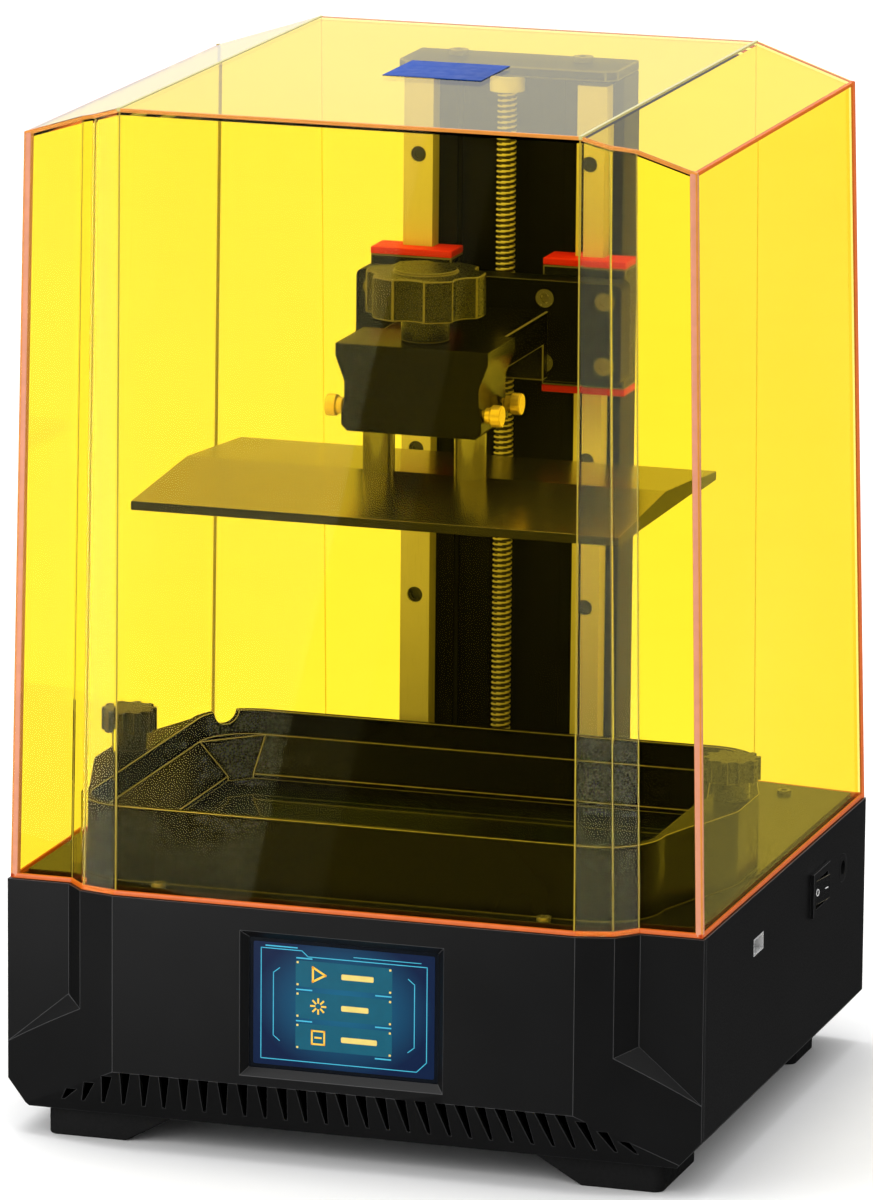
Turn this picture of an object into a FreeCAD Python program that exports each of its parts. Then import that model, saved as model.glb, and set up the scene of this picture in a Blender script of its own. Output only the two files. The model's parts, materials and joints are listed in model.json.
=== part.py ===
import FreeCAD, Part
import math
import os
import Sketcher

# A resin printer: a black base with a front touchscreen, a vat on its deck, a vertical
# column that carries the build platform, and an amber hood that lifts off.
# Millimetres. +Z is up, the front faces -Y, and the origin is on the table under the middle.

SIZES = {
    # Base housing
    "base_width": 281.6,
    "base_depth": 257.3,
    "base_height": 90.5,
    "foot_height": 11.5,
    "front_flat": 186.4,
    "rear_flat": 183.4,
    "corner_setback": 12.3,
    "rear_setback": 6.6,
    "housing_wall": 3.0,
    "side_chamfer_width": 9.2,
    "side_chamfer_height": 10.2,
    "grille_height": 20.0,
    "grille_rake": 11.0,
    "seat_gap": 0.2,
    # Recesses in the front corners
    "recess_edge": 115.5,
    "recess_drop": 44.2,
    "recess_corner_drop": 65.5,
    "recess_draft": 0.9,
    # Grille slots
    "slot_pitch": 8.0,
    "grille_margin": 25.4,
    "slot_top_width": 4.3,
    "slot_bottom_width": 1.2,
    "slot_lip": 5.0,
    "slot_fan": 1.04,
    # Feet
    "foot_side_gap": 15.8,
    "foot_width": 32.5,
    "foot_flare": 20.0,
    "foot_round": 4.0,
    "front_foot_length": 48.0,
    "rear_foot_length": 31.0,
    "rear_foot_setback": 15.0,
    "bottom_plate": 2.0,
    # Touchscreen
    "screen_width": 73.44,
    "screen_height": 48.96,
    "screen_drop": 37.9,
    "screen_border": 1.0,
    "screen_bevel": 3.4,
    "screen_depth": 3.4,
    "screen_glass": 3.0,
    "screen_overlap": 3.0,
    "display_board": 1.6,
    # Sockets and switch on the right side
    "port_drop": 21.0,
    "usb_place": -38.7,
    "usb_width": 14.0,
    "usb_height": 6.8,
    "usb_length": 16.0,
    "usb_wall": 0.6,
    "switch_place": 49.9,
    "switch_width": 21.0,
    "switch_height": 15.0,
    "switch_flange": 1.5,
    "switch_rim": 1.6,
    "switch_length": 16.0,
    "rocker_gap": 1.0,
    "rocker_tilt": 8.0,
    "rocker_pin": 1.2,
    "rocker_pin_sink": 1.0,
    "jack_setback": 41.25,
    "jack_radius": 5.6,
    "jack_bore": 3.0,
    "jack_pin": 1.0,
    "jack_length": 14.0,
    # Deck
    "deck_plate": 2.5,
    "deck_rise": 3.0,
    "deck_groove": 2.5,
    "deck_screw_place": 77.8,
    "deck_screw_setback": 10.4,
    "deck_screw_rear_gap": 31.6,
    "deck_screw_rear_setback": 23.0,
    "deck_screw_head": 2.9,
    "deck_screw_shank": 1.5,
    "deck_screw_height": 1.4,
    # Exposure screen and lamp under the deck
    "mask_side_margin": 3.7,
    "mask_end_margin": 9.55,
    "mask_border": 5.0,
    "mask_glass": 2.8,
    "lamp_side_margin": 23.3,
    "lamp_end_margin": 14.45,
    "lamp_board": 1.6,
    "lens_plate": 3.0,
    "shroud_wall": 1.5,
    "sink_height": 18.0,
    "sink_base": 4.0,
    "fin_pitch": 10.0,
    "fin_width": 2.0,
    # Vat
    "vat_side_gap": 23.8,
    "vat_front_gap": 13.65,
    "vat_rear_gap": 23.8,
    "vat_height": 29.5,
    "vat_wall": 3.0,
    "vat_round": 24.0,
    "vat_lip": 10.0,
    "vat_side_slope": 15.0,
    "vat_end_slope": 15.5,
    "vat_sill": 6.0,
    "ear_reach": 14.5,
    "ear_tip": 15.0,
    "ear_corner_gap": 2.5,
    "ear_round": 14.0,
    "pour_radius": 5.5,
    "frame_width": 8.0,
    "frame_height": 3.3,
    "film": 0.3,
    "film_lift": 0.4,
    # Vat knobs
    "vat_knob_reach": 6.4,
    "vat_knob_offset": 4.0,
    "vat_knob_radius": 11.2,
    "vat_knob_height": 9.0,
    "vat_knob_stem": 7.1,
    "vat_knob_stem_height": 7.5,
    "vat_knob_flutes": 10,
    "vat_knob_flute": 2.2,
    "stud_radius": 3.0,
    # Column
    "column_width": 91.0,
    "column_setback": 46.85,
    "column_depth": 24.5,
    "column_height": 289.3,
    "column_corner": 3.0,
    "channel_width": 44.0,
    "channel_depth": 6.0,
    "cap_height": 4.2,
    "cap_overhang": 9.0,
    "cap_corner": 4.0,
    "cap_screw_place": 26.0,
    "cap_screw_radius": 4.0,
    "cap_screw_height": 2.2,
    "rail_place": 36.0,
    "rail_width": 12.2,
    "rail_height": 8.5,
    "rail_top_gap": 2.0,
    "rail_pitch": 60.0,
    "rail_first": 18.0,
    "rail_screw_head": 3.2,
    "rail_screw_depth": 4.0,
    # Lead screw drive
    "screw_reach": 5.9,
    "screw_radius": 4.0,
    "bearing_radius": 7.0,
    "bearing_height": 6.0,
    "coupling_radius": 9.5,
    "coupling_gap": 3.0,
    "coupling_length": 25.0,
    "coupling_drop": 3.0,
    "motor_width": 42.3,
    "motor_height": 38.0,
    "motor_shaft": 2.5,
    "motor_corner": 4.0,
    "bracket_wall": 3.0,
    "run_gap": 0.3,
    "fit_gap": 0.05,
    # Carriage
    "carriage_height": 299.0,
    "carriage_width": 110.0,
    "carriage_length": 40.5,
    "carriage_plate": 12.0,
    "carriage_round": 3.0,
    "block_width": 34.0,
    "block_length": 48.5,
    "block_depth": 15.5,
    "block_rear_gap": 1.5,
    "seal_length": 2.8,
    "slide_gap": 0.1,
    "block_screw_across": 25.0,
    "block_screw_along": 26.0,
    "block_screw_head": 3.6,
    "block_screw_sink": 3.8,
    "socket_radius": 1.9,
    "nut_radius": 8.0,
    "nut_length": 24.0,
    "nut_bracket_width": 28.0,
    "nut_bracket_length": 16.0,
    "nut_bracket_wall": 3.0,
    # Arm and clamp
    "arm_width": 50.0,
    "arm_rise": 8.0,
    "arm_height": 13.0,
    "arm_foot": 6.0,
    "arm_foot_height": 27.0,
    "tongue_width": 30.0,
    "tongue_height": 10.7,
    "clamp_depth": 35.0,
    "clamp_height": 34.4,
    "clamp_flare": 2.457,
    "clamp_rise": 9.4,
    "clamp_top_width": 62.0,
    "clamp_waist_width": 54.6,
    "clamp_bottom_width": 57.0,
    "clamp_panel_inset": 5.0,
    "clamp_panel_depth": 1.2,
    "clamp_panel_drop": 21.0,
    "clamp_cavity_height": 14.0,
    "clamp_side_wall": 1.9,
    "clamp_end_wall": 3.5,
    # Platform knob
    "knob_radius": 23.4,
    "knob_height": 16.5,
    "knob_lobes": 6,
    "knob_scallop": 9.0,
    "knob_scallop_reach": 29.0,
    "knob_boss": 12.5,
    "knob_boss_height": 1.2,
    "knob_stem": 9.5,
    "knob_stem_height": 10.4,
    "knob_shaft": 4.0,
    # Build plate, posts and levelling screws
    "plate_side_gap": 4.0,
    "plate_end_gap": 5.5,
    "plate_edge": 3.6,
    "plate_crown": 5.0,
    "plate_drop": 27.0,
    "post_place": 18.7,
    "post_radius": 6.3,
    "post_sink": 4.0,
    "yoke_height": 10.0,
    "yoke_lift": 4.0,
    "level_screw_spread": 26.0,
    "level_screw_shank": 2.0,
    "level_screw_head": 4.3,
    "level_screw_head_length": 4.2,
    "level_screw_collar": 3.2,
    "level_screw_collar_length": 2.6,
    # Cooling fan and main board
    "fan_width": 60.0,
    "fan_depth": 15.0,
    "fan_place": -58.0,
    "fan_lift": 40.0,
    "fan_tip_gap": 1.5,
    "fan_hub": 12.0,
    "fan_pin": 2.0,
    "fan_blades": 7,
    "blade_width": 2.0,
    "vent_pitch": 7.0,
    "vent_width": 3.4,
    "vent_length": 46.0,
    "vents": 7,
    "board_width": 110.0,
    "board_depth": 70.0,
    "board_sheet": 1.6,
    "board_lift": 6.0,
    "board_side_gap": 69.8,
    "board_setback": 62.0,
    "standoff_radius": 3.0,
    "standoff_inset": 5.0,
    # Hood
    "cover_height": 307.4,
    "cover_wall": 3.0,
    "cover_inset": 1.0,
    "cover_lift": 0.3,
    "cover_shoulder": 13.0,
    "cover_side_lean": 6.8,
    "cover_rear_lean": 12.0,
    "cover_fold_lean": 1.5,
    "cover_step_lean": 5.1,
    "sticker_width": 40.0,
    "sticker_depth": 38.0,
    "sticker_place": 0.5,
    "sticker_sheet": 0.3,
    "sticker_offset": -1.7,
}

doc = FreeCAD.newDocument("resin_printer")
sheet = doc.addObject("Spreadsheet::Sheet", "dims")
for row, (alias, number) in enumerate(SIZES.items(), start=1):
    sheet.set(f"A{row}", alias)
    sheet.set(f"B{row}", str(number))
    sheet.setAlias(f"B{row}", alias)
doc.recompute()


class Measure:
    """A length that knows its number and the formula that ties it to the sheet."""

    def __init__(self, text, value):
        self.text = text
        self.value = value

    def __add__(self, other):
        other = measure(other)
        return Measure(f"({self.text} + {other.text})", self.value + other.value)

    def __sub__(self, other):
        other = measure(other)
        return Measure(f"({self.text} - {other.text})", self.value - other.value)

    def __mul__(self, other):
        other = measure(other)
        return Measure(f"({self.text} * {other.text})", self.value * other.value)

    def __truediv__(self, other):
        other = measure(other)
        return Measure(f"({self.text} / {other.text})", self.value / other.value)

    def __neg__(self):
        return Measure(f"(0 - {self.text})", -self.value)

    __radd__ = __add__
    __rmul__ = __mul__

    def __rsub__(self, other):
        return measure(other) - self


def measure(value):
    """A plain number as a measure, and a measure as it is."""
    return value if isinstance(value, Measure) else Measure(repr(float(value)), float(value))


class Sheet:
    """The sheet's cells as measures: size.base_width and so on."""

    def __getattr__(self, alias):
        return Measure(f"dims.{alias}", float(sheet.get(alias)))


size = Sheet()
X_AXIS = FreeCAD.Vector(1, 0, 0)
Y_AXIS = FreeCAD.Vector(0, 1, 0)
Z_AXIS = FreeCAD.Vector(0, 0, 1)
AXIS_TURNS = {
    "x": FreeCAD.Rotation(Y_AXIS, 90),
    "y": FreeCAD.Rotation(X_AXIS, -90),
    "z": FreeCAD.Rotation(),
}
PLANE_ROLES = {"xy": "XY_Plane", "xz": "XZ_Plane", "yz": "YZ_Plane"}
PLANE_TURNS = {
    "xy": FreeCAD.Rotation(),
    "xz": FreeCAD.Rotation(X_AXIS, 90),
    "yz": FreeCAD.Rotation(FreeCAD.Vector(1, 1, 1), 120),
}
EDGE_SLACK = 0.01


def tie(thing, prop, value):
    thing.setExpression(prop, measure(value).text)


def place(thing, corner):
    for letter, value in zip("xyz", corner):
        tie(thing, f"Placement.Base.{letter}", value)


def block(name, x, y, z):
    """A box between two limits on each axis."""
    box = doc.addObject("Part::Box", name)
    for prop, (low, high) in zip(("Length", "Width", "Height"), (x, y, z)):
        tie(box, prop, measure(high) - low)
    place(box, (x[0], y[0], z[0]))
    return box


def rod(name, radius, start, length, axis="z"):
    """A cylinder that runs from its start along one axis."""
    cylinder = doc.addObject("Part::Cylinder", name)
    cylinder.Placement = FreeCAD.Placement(FreeCAD.Vector(), AXIS_TURNS[axis])
    tie(cylinder, "Radius", radius)
    tie(cylinder, "Height", length)
    place(cylinder, start)
    return cylinder


def funnel(name, y, mouth, throat):
    """A frustum along Y: x and z limits at its mouth, then at its throat."""
    wedge = doc.addObject("Part::Wedge", name)
    near = dict(zip(("Xmin", "Xmax", "Zmin", "Zmax"), (*mouth[0], *mouth[1])))
    far = dict(zip(("X2min", "X2max", "Z2min", "Z2max"), (*throat[0], *throat[1])))
    for prop, value in {**near, **far, "Ymin": y[0], "Ymax": y[1]}.items():
        tie(wedge, prop, value)
    return wedge


def join(name, *pieces):
    fused = doc.addObject("Part::MultiFuse", name)
    fused.Shapes = list(pieces)
    return fused


def overlap(name, *pieces):
    common = doc.addObject("Part::MultiCommon", name)
    common.Shapes = list(pieces)
    return common


def cut(name, base, *tools):
    difference = doc.addObject("Part::Cut", name)
    difference.Base = base
    difference.Tool = tools[0] if len(tools) == 1 else join(f"{name}_tools", *tools)
    return difference


def group(name, pieces):
    """Separate solids that share one node."""
    compound = doc.addObject("Part::Compound", name)
    compound.Links = list(pieces)
    return compound


def mirror(name, piece):
    """The same piece on the other side of the middle plane."""
    mirrored = doc.addObject("Part::Mirroring", name)
    mirrored.Source = piece
    mirrored.Normal = X_AXIS
    return mirrored


def draw(sketch, corners):
    """Closes straight lines through the corners and ties each corner to the sheet."""
    spots = [(measure(across), measure(along)) for across, along in corners]
    count = len(spots)
    for index, (across, along) in enumerate(spots):
        after = spots[(index + 1) % count]
        first = FreeCAD.Vector(across.value, along.value, 0)
        last = FreeCAD.Vector(after[0].value, after[1].value, 0)
        sketch.addGeometry(Part.LineSegment(first, last), False)
    for index in range(count):
        follow = (index + 1) % count
        sketch.addConstraint(Sketcher.Constraint("Coincident", index, 2, follow, 1))
    for index, spot in enumerate(spots):
        for kind, value in zip(("DistanceX", "DistanceY"), spot):
            rule = Sketcher.Constraint(kind, -1, 1, index, 1, value.value)
            tie(sketch, f"Constraints[{sketch.addConstraint(rule)}]", value)


def draw_circle(sketch, radius, centre):
    """Adds a circle tied to the sheet."""
    across, along = measure(centre[0]), measure(centre[1])
    radius = measure(radius)
    middle = FreeCAD.Vector(across.value, along.value, 0)
    index = sketch.addGeometry(Part.Circle(middle, Z_AXIS, radius.value), False)
    rules = [
        (Sketcher.Constraint("Radius", index, radius.value), radius),
        (Sketcher.Constraint("DistanceX", -1, 1, index, 3, across.value), across),
        (Sketcher.Constraint("DistanceY", -1, 1, index, 3, along.value), along),
    ]
    for rule, value in rules:
        tie(sketch, f"Constraints[{sketch.addConstraint(rule)}]", value)


def outline(name, plane, corners, at):
    """A free sketch on a plane: at is its place along the plane's axis."""
    sketch = doc.addObject("Sketcher::SketchObject", name)
    sketch.Placement = FreeCAD.Placement(FreeCAD.Vector(), PLANE_TURNS[plane])
    draw(sketch, corners)
    axis = {"xy": "z", "xz": "y", "yz": "x"}[plane]
    tie(sketch, f"Placement.Base.{axis}", at)
    return sketch


def extrude(name, plane, corners, limits):
    """A straight prism of an outline between two limits along the plane's axis."""
    sketch = outline(f"{name}_outline", plane, corners, limits[0])
    prism = doc.addObject("Part::Extrusion", name)
    prism.Base = sketch
    prism.DirMode = "Custom"
    prism.Dir = {"xy": Z_AXIS, "xz": Y_AXIS, "yz": X_AXIS}[plane]
    prism.Solid = True
    tie(prism, "LengthFwd", measure(limits[1]) - limits[0])
    return prism


def loft(name, *sketches):
    """A straight-sided solid from one outline to the next."""
    solid = doc.addObject("Part::Loft", name)
    solid.Sections = list(sketches)
    solid.Solid = True
    solid.Ruled = True
    return solid


def new_body(name):
    return doc.addObject("PartDesign::Body", name)


def body_sketch(body, name, plane, at):
    """A sketch on one of the body's own planes: at is its height along the plane's normal."""
    sketch = body.newObject("Sketcher::SketchObject", f"{body.Name}_{name}")
    role = PLANE_ROLES[plane]
    support = [feature for feature in body.Origin.OriginFeatures if feature.Role == role]
    sketch.AttachmentSupport = [(support[0], "")]
    sketch.MapMode = "FlatFace"
    tie(sketch, "AttachmentOffset.Base.z", at)
    return sketch


def pad(body, name, plane, corners, limits):
    """Adds a prism of an outline between two limits along the plane's normal."""
    sketch = body_sketch(body, f"{name}_outline", plane, limits[0])
    draw(sketch, corners)
    feature = body.newObject("PartDesign::Pad", f"{body.Name}_{name}")
    feature.Profile = sketch
    tie(feature, "Length", measure(limits[1]) - limits[0])
    return feature


def pocket(body, name, corners, limits):
    """Cuts an outline down from the upper limit to the lower one."""
    sketch = body_sketch(body, f"{name}_outline", "xy", limits[1])
    draw(sketch, corners)
    feature = body.newObject("PartDesign::Pocket", f"{body.Name}_{name}")
    feature.Profile = sketch
    tie(feature, "Length", measure(limits[1]) - limits[0])
    return feature


def pocket_round(body, name, radius, centres, limits):
    """Cuts round holes down from the upper limit to the lower one."""
    sketch = body_sketch(body, f"{name}_outline", "xy", limits[1])
    for centre in centres:
        draw_circle(sketch, radius, centre)
    feature = body.newObject("PartDesign::Pocket", f"{body.Name}_{name}")
    feature.Profile = sketch
    tie(feature, "Length", measure(limits[1]) - limits[0])
    return feature


def round_edges(body, name, radius, wanted):
    """Rounds the edges of the body's last feature that pass the test."""
    doc.recompute()
    last = body.Tip
    names = [f"Edge{index}" for index, edge in enumerate(last.Shape.Edges, start=1) if wanted(edge)]
    feature = body.newObject("PartDesign::Fillet", f"{body.Name}_{name}")
    feature.Base = (last, names)
    tie(feature, "Radius", radius)
    return feature


def upright(edge):
    """True for a straight vertical edge."""
    ends = [vertex.Point for vertex in edge.Vertexes]
    return len(ends) == 2 and (ends[0] - ends[1]).cross(Z_AXIS).Length < EDGE_SLACK


def rectangle(half_width, half_depth, centre_y=0.0):
    """Corners of a rectangle about a point of the middle plane."""
    low, high = measure(centre_y) - half_depth, measure(centre_y) + half_depth
    return [(-half_width, low), (half_width, low), (half_width, high), (-half_width, high)]


def trimmed(half_width, half_depth, corner, centre_y):
    """Corners of a rectangle about a point of the middle plane, with its four corners cut off."""
    low, high = measure(centre_y) - half_depth, measure(centre_y) + half_depth
    right = [
        (half_width - corner, low),
        (half_width, low + corner),
        (half_width, high - corner),
        (half_width - corner, high),
    ]
    return both_sides(right)


def both_sides(half):
    """A half outline on the right, closed by its mirror image on the left."""
    return half + [(-measure(across), along) for across, along in reversed(half)]


# Heights and depths that several pieces share
HALF_WIDTH = size.base_width / 2
FRONT = -(size.base_depth / 2)
REAR = size.base_depth / 2
JACK_Y = REAR - size.jack_setback
CORNER_FRONT = FRONT + size.corner_setback
CORNER_REAR = REAR - size.rear_setback
FOLD = size.front_flat / 2
REAR_FOLD = size.rear_flat / 2
BASE_BOTTOM = size.foot_height
BASE_TOP = BASE_BOTTOM + size.base_height
FLOOR_TOP = BASE_BOTTOM + size.bottom_plate
DECK_TOP = BASE_TOP + size.deck_rise
DECK_BOTTOM = BASE_TOP - size.deck_plate
FACET_SLOPE = size.corner_setback / (HALF_WIDTH - FOLD)
COLUMN_FRONT = REAR - size.column_setback
SCREW_Y = COLUMN_FRONT - size.screw_reach
VAT_FRONT = FRONT + size.vat_front_gap
VAT_REAR = COLUMN_FRONT - size.vat_rear_gap
PLATFORM_Y = (VAT_FRONT + VAT_REAR) / 2
VAT_X = HALF_WIDTH - size.vat_side_gap
VAT_Y = (VAT_REAR - VAT_FRONT) / 2
WINDOW_X = VAT_X - size.vat_side_slope
WINDOW_Y = VAT_Y - size.vat_end_slope
MASK_X = WINDOW_X - size.mask_side_margin
MASK_Y = WINDOW_Y - size.mask_end_margin
VAT_KNOB_X = VAT_X + size.vat_knob_reach
VAT_KNOB_Y = PLATFORM_Y + size.vat_knob_offset
MITRE = math.tan(math.pi / 8)
PAST = 1.0
nodes = []


def keep(piece):
    """Marks a finished piece as a node of the assembly."""
    nodes.append(piece)
    return piece


def stepped_plan(inset, lean=0.0):
    """Outline with recessed front corners, inset evenly; lean runs from 0 at the bottom to 1."""
    fold = FOLD - size.cover_fold_lean * lean
    half = HALF_WIDTH - size.cover_side_lean * lean - inset
    edge = size.recess_edge - size.cover_step_lean * lean
    rear_shift = size.cover_rear_lean * lean
    depth = FACET_SLOPE * (HALF_WIDTH - size.recess_edge) / (1.0 - FACET_SLOPE * size.recess_draft)
    step_x = edge - size.recess_draft * depth - inset * MITRE
    step_y = FRONT + FACET_SLOPE * (edge - size.recess_draft * depth - fold) + inset
    floor_y = step_y + depth
    right = [
        (fold, FRONT + inset),
        (step_x, step_y),
        (edge - inset * MITRE, floor_y),
        (half, floor_y),
        (half, CORNER_REAR - rear_shift - inset),
        (REAR_FOLD, REAR - rear_shift - inset),
    ]
    return both_sides(right)


def housing(name, inset, open_by):
    """The base as a block, inset evenly; open_by carries it past its top and bottom."""
    half = HALF_WIDTH - inset
    top, bottom = BASE_TOP + open_by, BASE_BOTTOM - open_by
    plan = [
        (FOLD, FRONT + inset),
        (half, CORNER_FRONT + inset),
        (half, CORNER_REAR - inset),
        (REAR_FOLD, REAR - inset),
    ]
    toe = half - size.side_chamfer_width
    sides = [(toe, bottom), (toe, BASE_BOTTOM), (half, BASE_BOTTOM + size.side_chamfer_height),
             (half, top)]
    front = FRONT + inset
    heel = front + size.grille_rake
    profile = [
        (heel, bottom),
        (REAR - inset, bottom),
        (REAR - inset, top),
        (front, top),
        (front, BASE_BOTTOM + size.grille_height),
        (heel, BASE_BOTTOM),
    ]
    if not open_by:
        sides = sides[1:]
        profile = profile[:-1]
    whole = overlap(
        f"{name}_block",
        extrude(f"{name}_plan", "xy", both_sides(plan), (bottom, top)),
        extrude(f"{name}_sides", "xz", both_sides(sides), (FRONT, REAR)),
        extrude(f"{name}_profile", "yz", profile, (-HALF_WIDTH, HALF_WIDTH)),
    )
    right = recess(f"{name}_recess", inset)
    return cut(name, whole, right, mirror(f"{name}_recess_left", right))


def recess(name, inset):
    """The wedge cut out of the right front corner, with drafted walls."""
    reach = size.corner_setback + PAST
    spread = size.recess_draft * reach
    top = BASE_TOP + PAST + PAST
    floor_y = CORNER_FRONT + inset
    edge = size.recess_edge - inset * MITRE
    beyond = HALF_WIDTH + PAST
    slope = (size.recess_corner_drop - size.recess_drop) / (HALF_WIDTH - size.recess_edge)
    bend = BASE_TOP - size.recess_drop - inset
    low = bend - slope * (beyond - edge)
    inner = [(edge, top), (edge, bend), (beyond, low), (beyond, top)]
    outer = [(edge - spread, top), (edge - spread, bend - spread * MITRE), (beyond, low - spread),
             (beyond, top)]
    return loft(
        name,
        outline(f"{name}_mouth", "xz", outer, floor_y - reach),
        outline(f"{name}_floor", "xz", inner, floor_y),
    )


def grille_slots():
    """Tapering slots that fan out along the raked lower front."""
    slots = []
    top = BASE_BOTTOM + size.grille_height
    bottom = BASE_BOTTOM + size.slot_lip
    steps = int((HALF_WIDTH - size.grille_margin).value / size.slot_pitch.value)
    for index in range(-steps, steps + 1):
        middle = size.slot_pitch * index
        start = top
        if abs(middle.value) + size.slot_top_width.value > FOLD.value:
            past_fold = size.slot_pitch * abs(index) - FOLD + size.slot_top_width / 2
            start = top - past_fold * FACET_SLOPE * size.grille_height / size.grille_rake
        if start.value - bottom.value < size.slot_top_width.value:
            continue
        wide, thin = size.slot_top_width / 2, size.slot_bottom_width / 2
        foot = middle * size.slot_fan
        corners = [(middle - wide, start), (middle + wide, start), (foot + thin, bottom),
                   (foot - thin, bottom)]
        heel = FRONT + size.grille_rake + size.housing_wall + size.corner_setback
        slots.append(extrude(f"grille_slot_{index + steps}", "xz", corners, (FRONT - PAST, heel)))
    return slots


def make_housing():
    shell = cut(
        "housing_shell",
        housing("housing_outside", measure(0.0), 0.0),
        housing("housing_inside", size.housing_wall, PAST),
    )
    seam = CORNER_FRONT + size.housing_wall
    wide = (-HALF_WIDTH - PAST, HALF_WIDTH + PAST)
    tall = (BASE_BOTTOM - PAST, BASE_TOP + PAST)
    front_wall = overlap("fascia_wall", shell, block("fascia_zone", wide, (FRONT - PAST, seam), tall))
    middle = BASE_TOP - size.screen_drop
    half_x = size.screen_width / 2 + size.screen_border
    half_z = size.screen_height / 2 + size.screen_border
    bevel = size.screen_bevel
    opening = funnel(
        "screen_bevel_cut",
        (FRONT, FRONT + size.screen_depth),
        ((-half_x - bevel, half_x + bevel), (middle - half_z - bevel, middle + half_z + bevel)),
        ((-half_x, half_x), (middle - half_z, middle + half_z)),
    )
    keep(cut("front_fascia", front_wall, opening, *grille_slots()))
    rest = overlap("casing_walls", shell, block("casing_zone", wide, (seam, REAR + PAST), tall))
    port = BASE_TOP - size.port_drop
    inside = HALF_WIDTH - size.housing_wall - PAST
    deep = (inside, HALF_WIDTH + PAST)
    usb = block("usb_cut", deep, span(size.usb_place, size.usb_width), span(port, size.usb_height))
    switch = block("switch_cut", deep, span(size.switch_place, size.switch_width),
                   span(port, size.switch_height))
    jack = rod("jack_cut", size.jack_radius, (inside, JACK_Y, port), size.housing_wall + PAST * 2, "x")
    vents = []
    fan_z = BASE_BOTTOM + size.fan_lift
    for index in range(int(round(size.vents.value))):
        offset = size.vent_pitch * index - size.vent_pitch * (size.vents - 1) / 2
        across = span(size.fan_place + offset, size.vent_width)
        along = (REAR - size.housing_wall - PAST, REAR + PAST)
        vents.append(block(f"vent_cut_{index}", across, along, span(fan_z, size.vent_length)))
    keep(cut("casing", rest, usb, switch, jack, *vents))


def span(middle, length):
    """The two limits of a length about its middle."""
    return (measure(middle) - measure(length) / 2, measure(middle) + measure(length) / 2)


def make_floor():
    toe = HALF_WIDTH - size.housing_wall - size.side_chamfer_width - size.seat_gap
    front = FRONT + size.grille_rake + size.housing_wall + size.seat_gap
    rear = REAR - size.housing_wall - size.seat_gap
    ear = CORNER_REAR - size.housing_wall - size.seat_gap
    body = new_body("bottom_plate")
    plan = both_sides([(toe, front), (toe, ear), (REAR_FOLD, rear)])
    pad(body, "sheet", "xy", plan, (BASE_BOTTOM, FLOOR_TOP))
    keep(body)


def make_foot(name, side, limits):
    """A foot with a sloping inner end, standing under the bottom plate."""
    body = new_body(name)
    outer = HALF_WIDTH - size.foot_side_gap
    inner = outer - size.foot_width
    corners = [
        ((inner - size.foot_flare) * side, BASE_BOTTOM),
        (inner * side, 0.0),
        (outer * side, 0.0),
        (outer * side, BASE_BOTTOM),
    ]
    pad(body, "block", "xz", corners, (-limits[1], -limits[0]))
    round_edges(body, "corners", size.foot_round, upright)
    keep(body)


def make_feet():
    front = FRONT + size.grille_rake + size.housing_wall
    rear = CORNER_REAR - size.rear_foot_setback
    for word, side in (("left", -1.0), ("right", 1.0)):
        make_foot(f"front_foot_{word}", side, (front, front + size.front_foot_length))
        make_foot(f"rear_foot_{word}", side, (rear - size.rear_foot_length, rear))


def make_touchscreen():
    middle = BASE_TOP - size.screen_drop
    half_x = size.screen_width / 2 + size.screen_border + size.screen_overlap
    half_z = size.screen_height / 2 + size.screen_border + size.screen_overlap
    glass = FRONT + size.screen_depth
    board = glass + size.screen_glass
    wide, tall = (-half_x, half_x), (middle - half_z, middle + half_z)
    keep(block("touchscreen", wide, (glass, board), tall))
    keep(block("display_board", wide, (board, board + size.display_board), tall))


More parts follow.
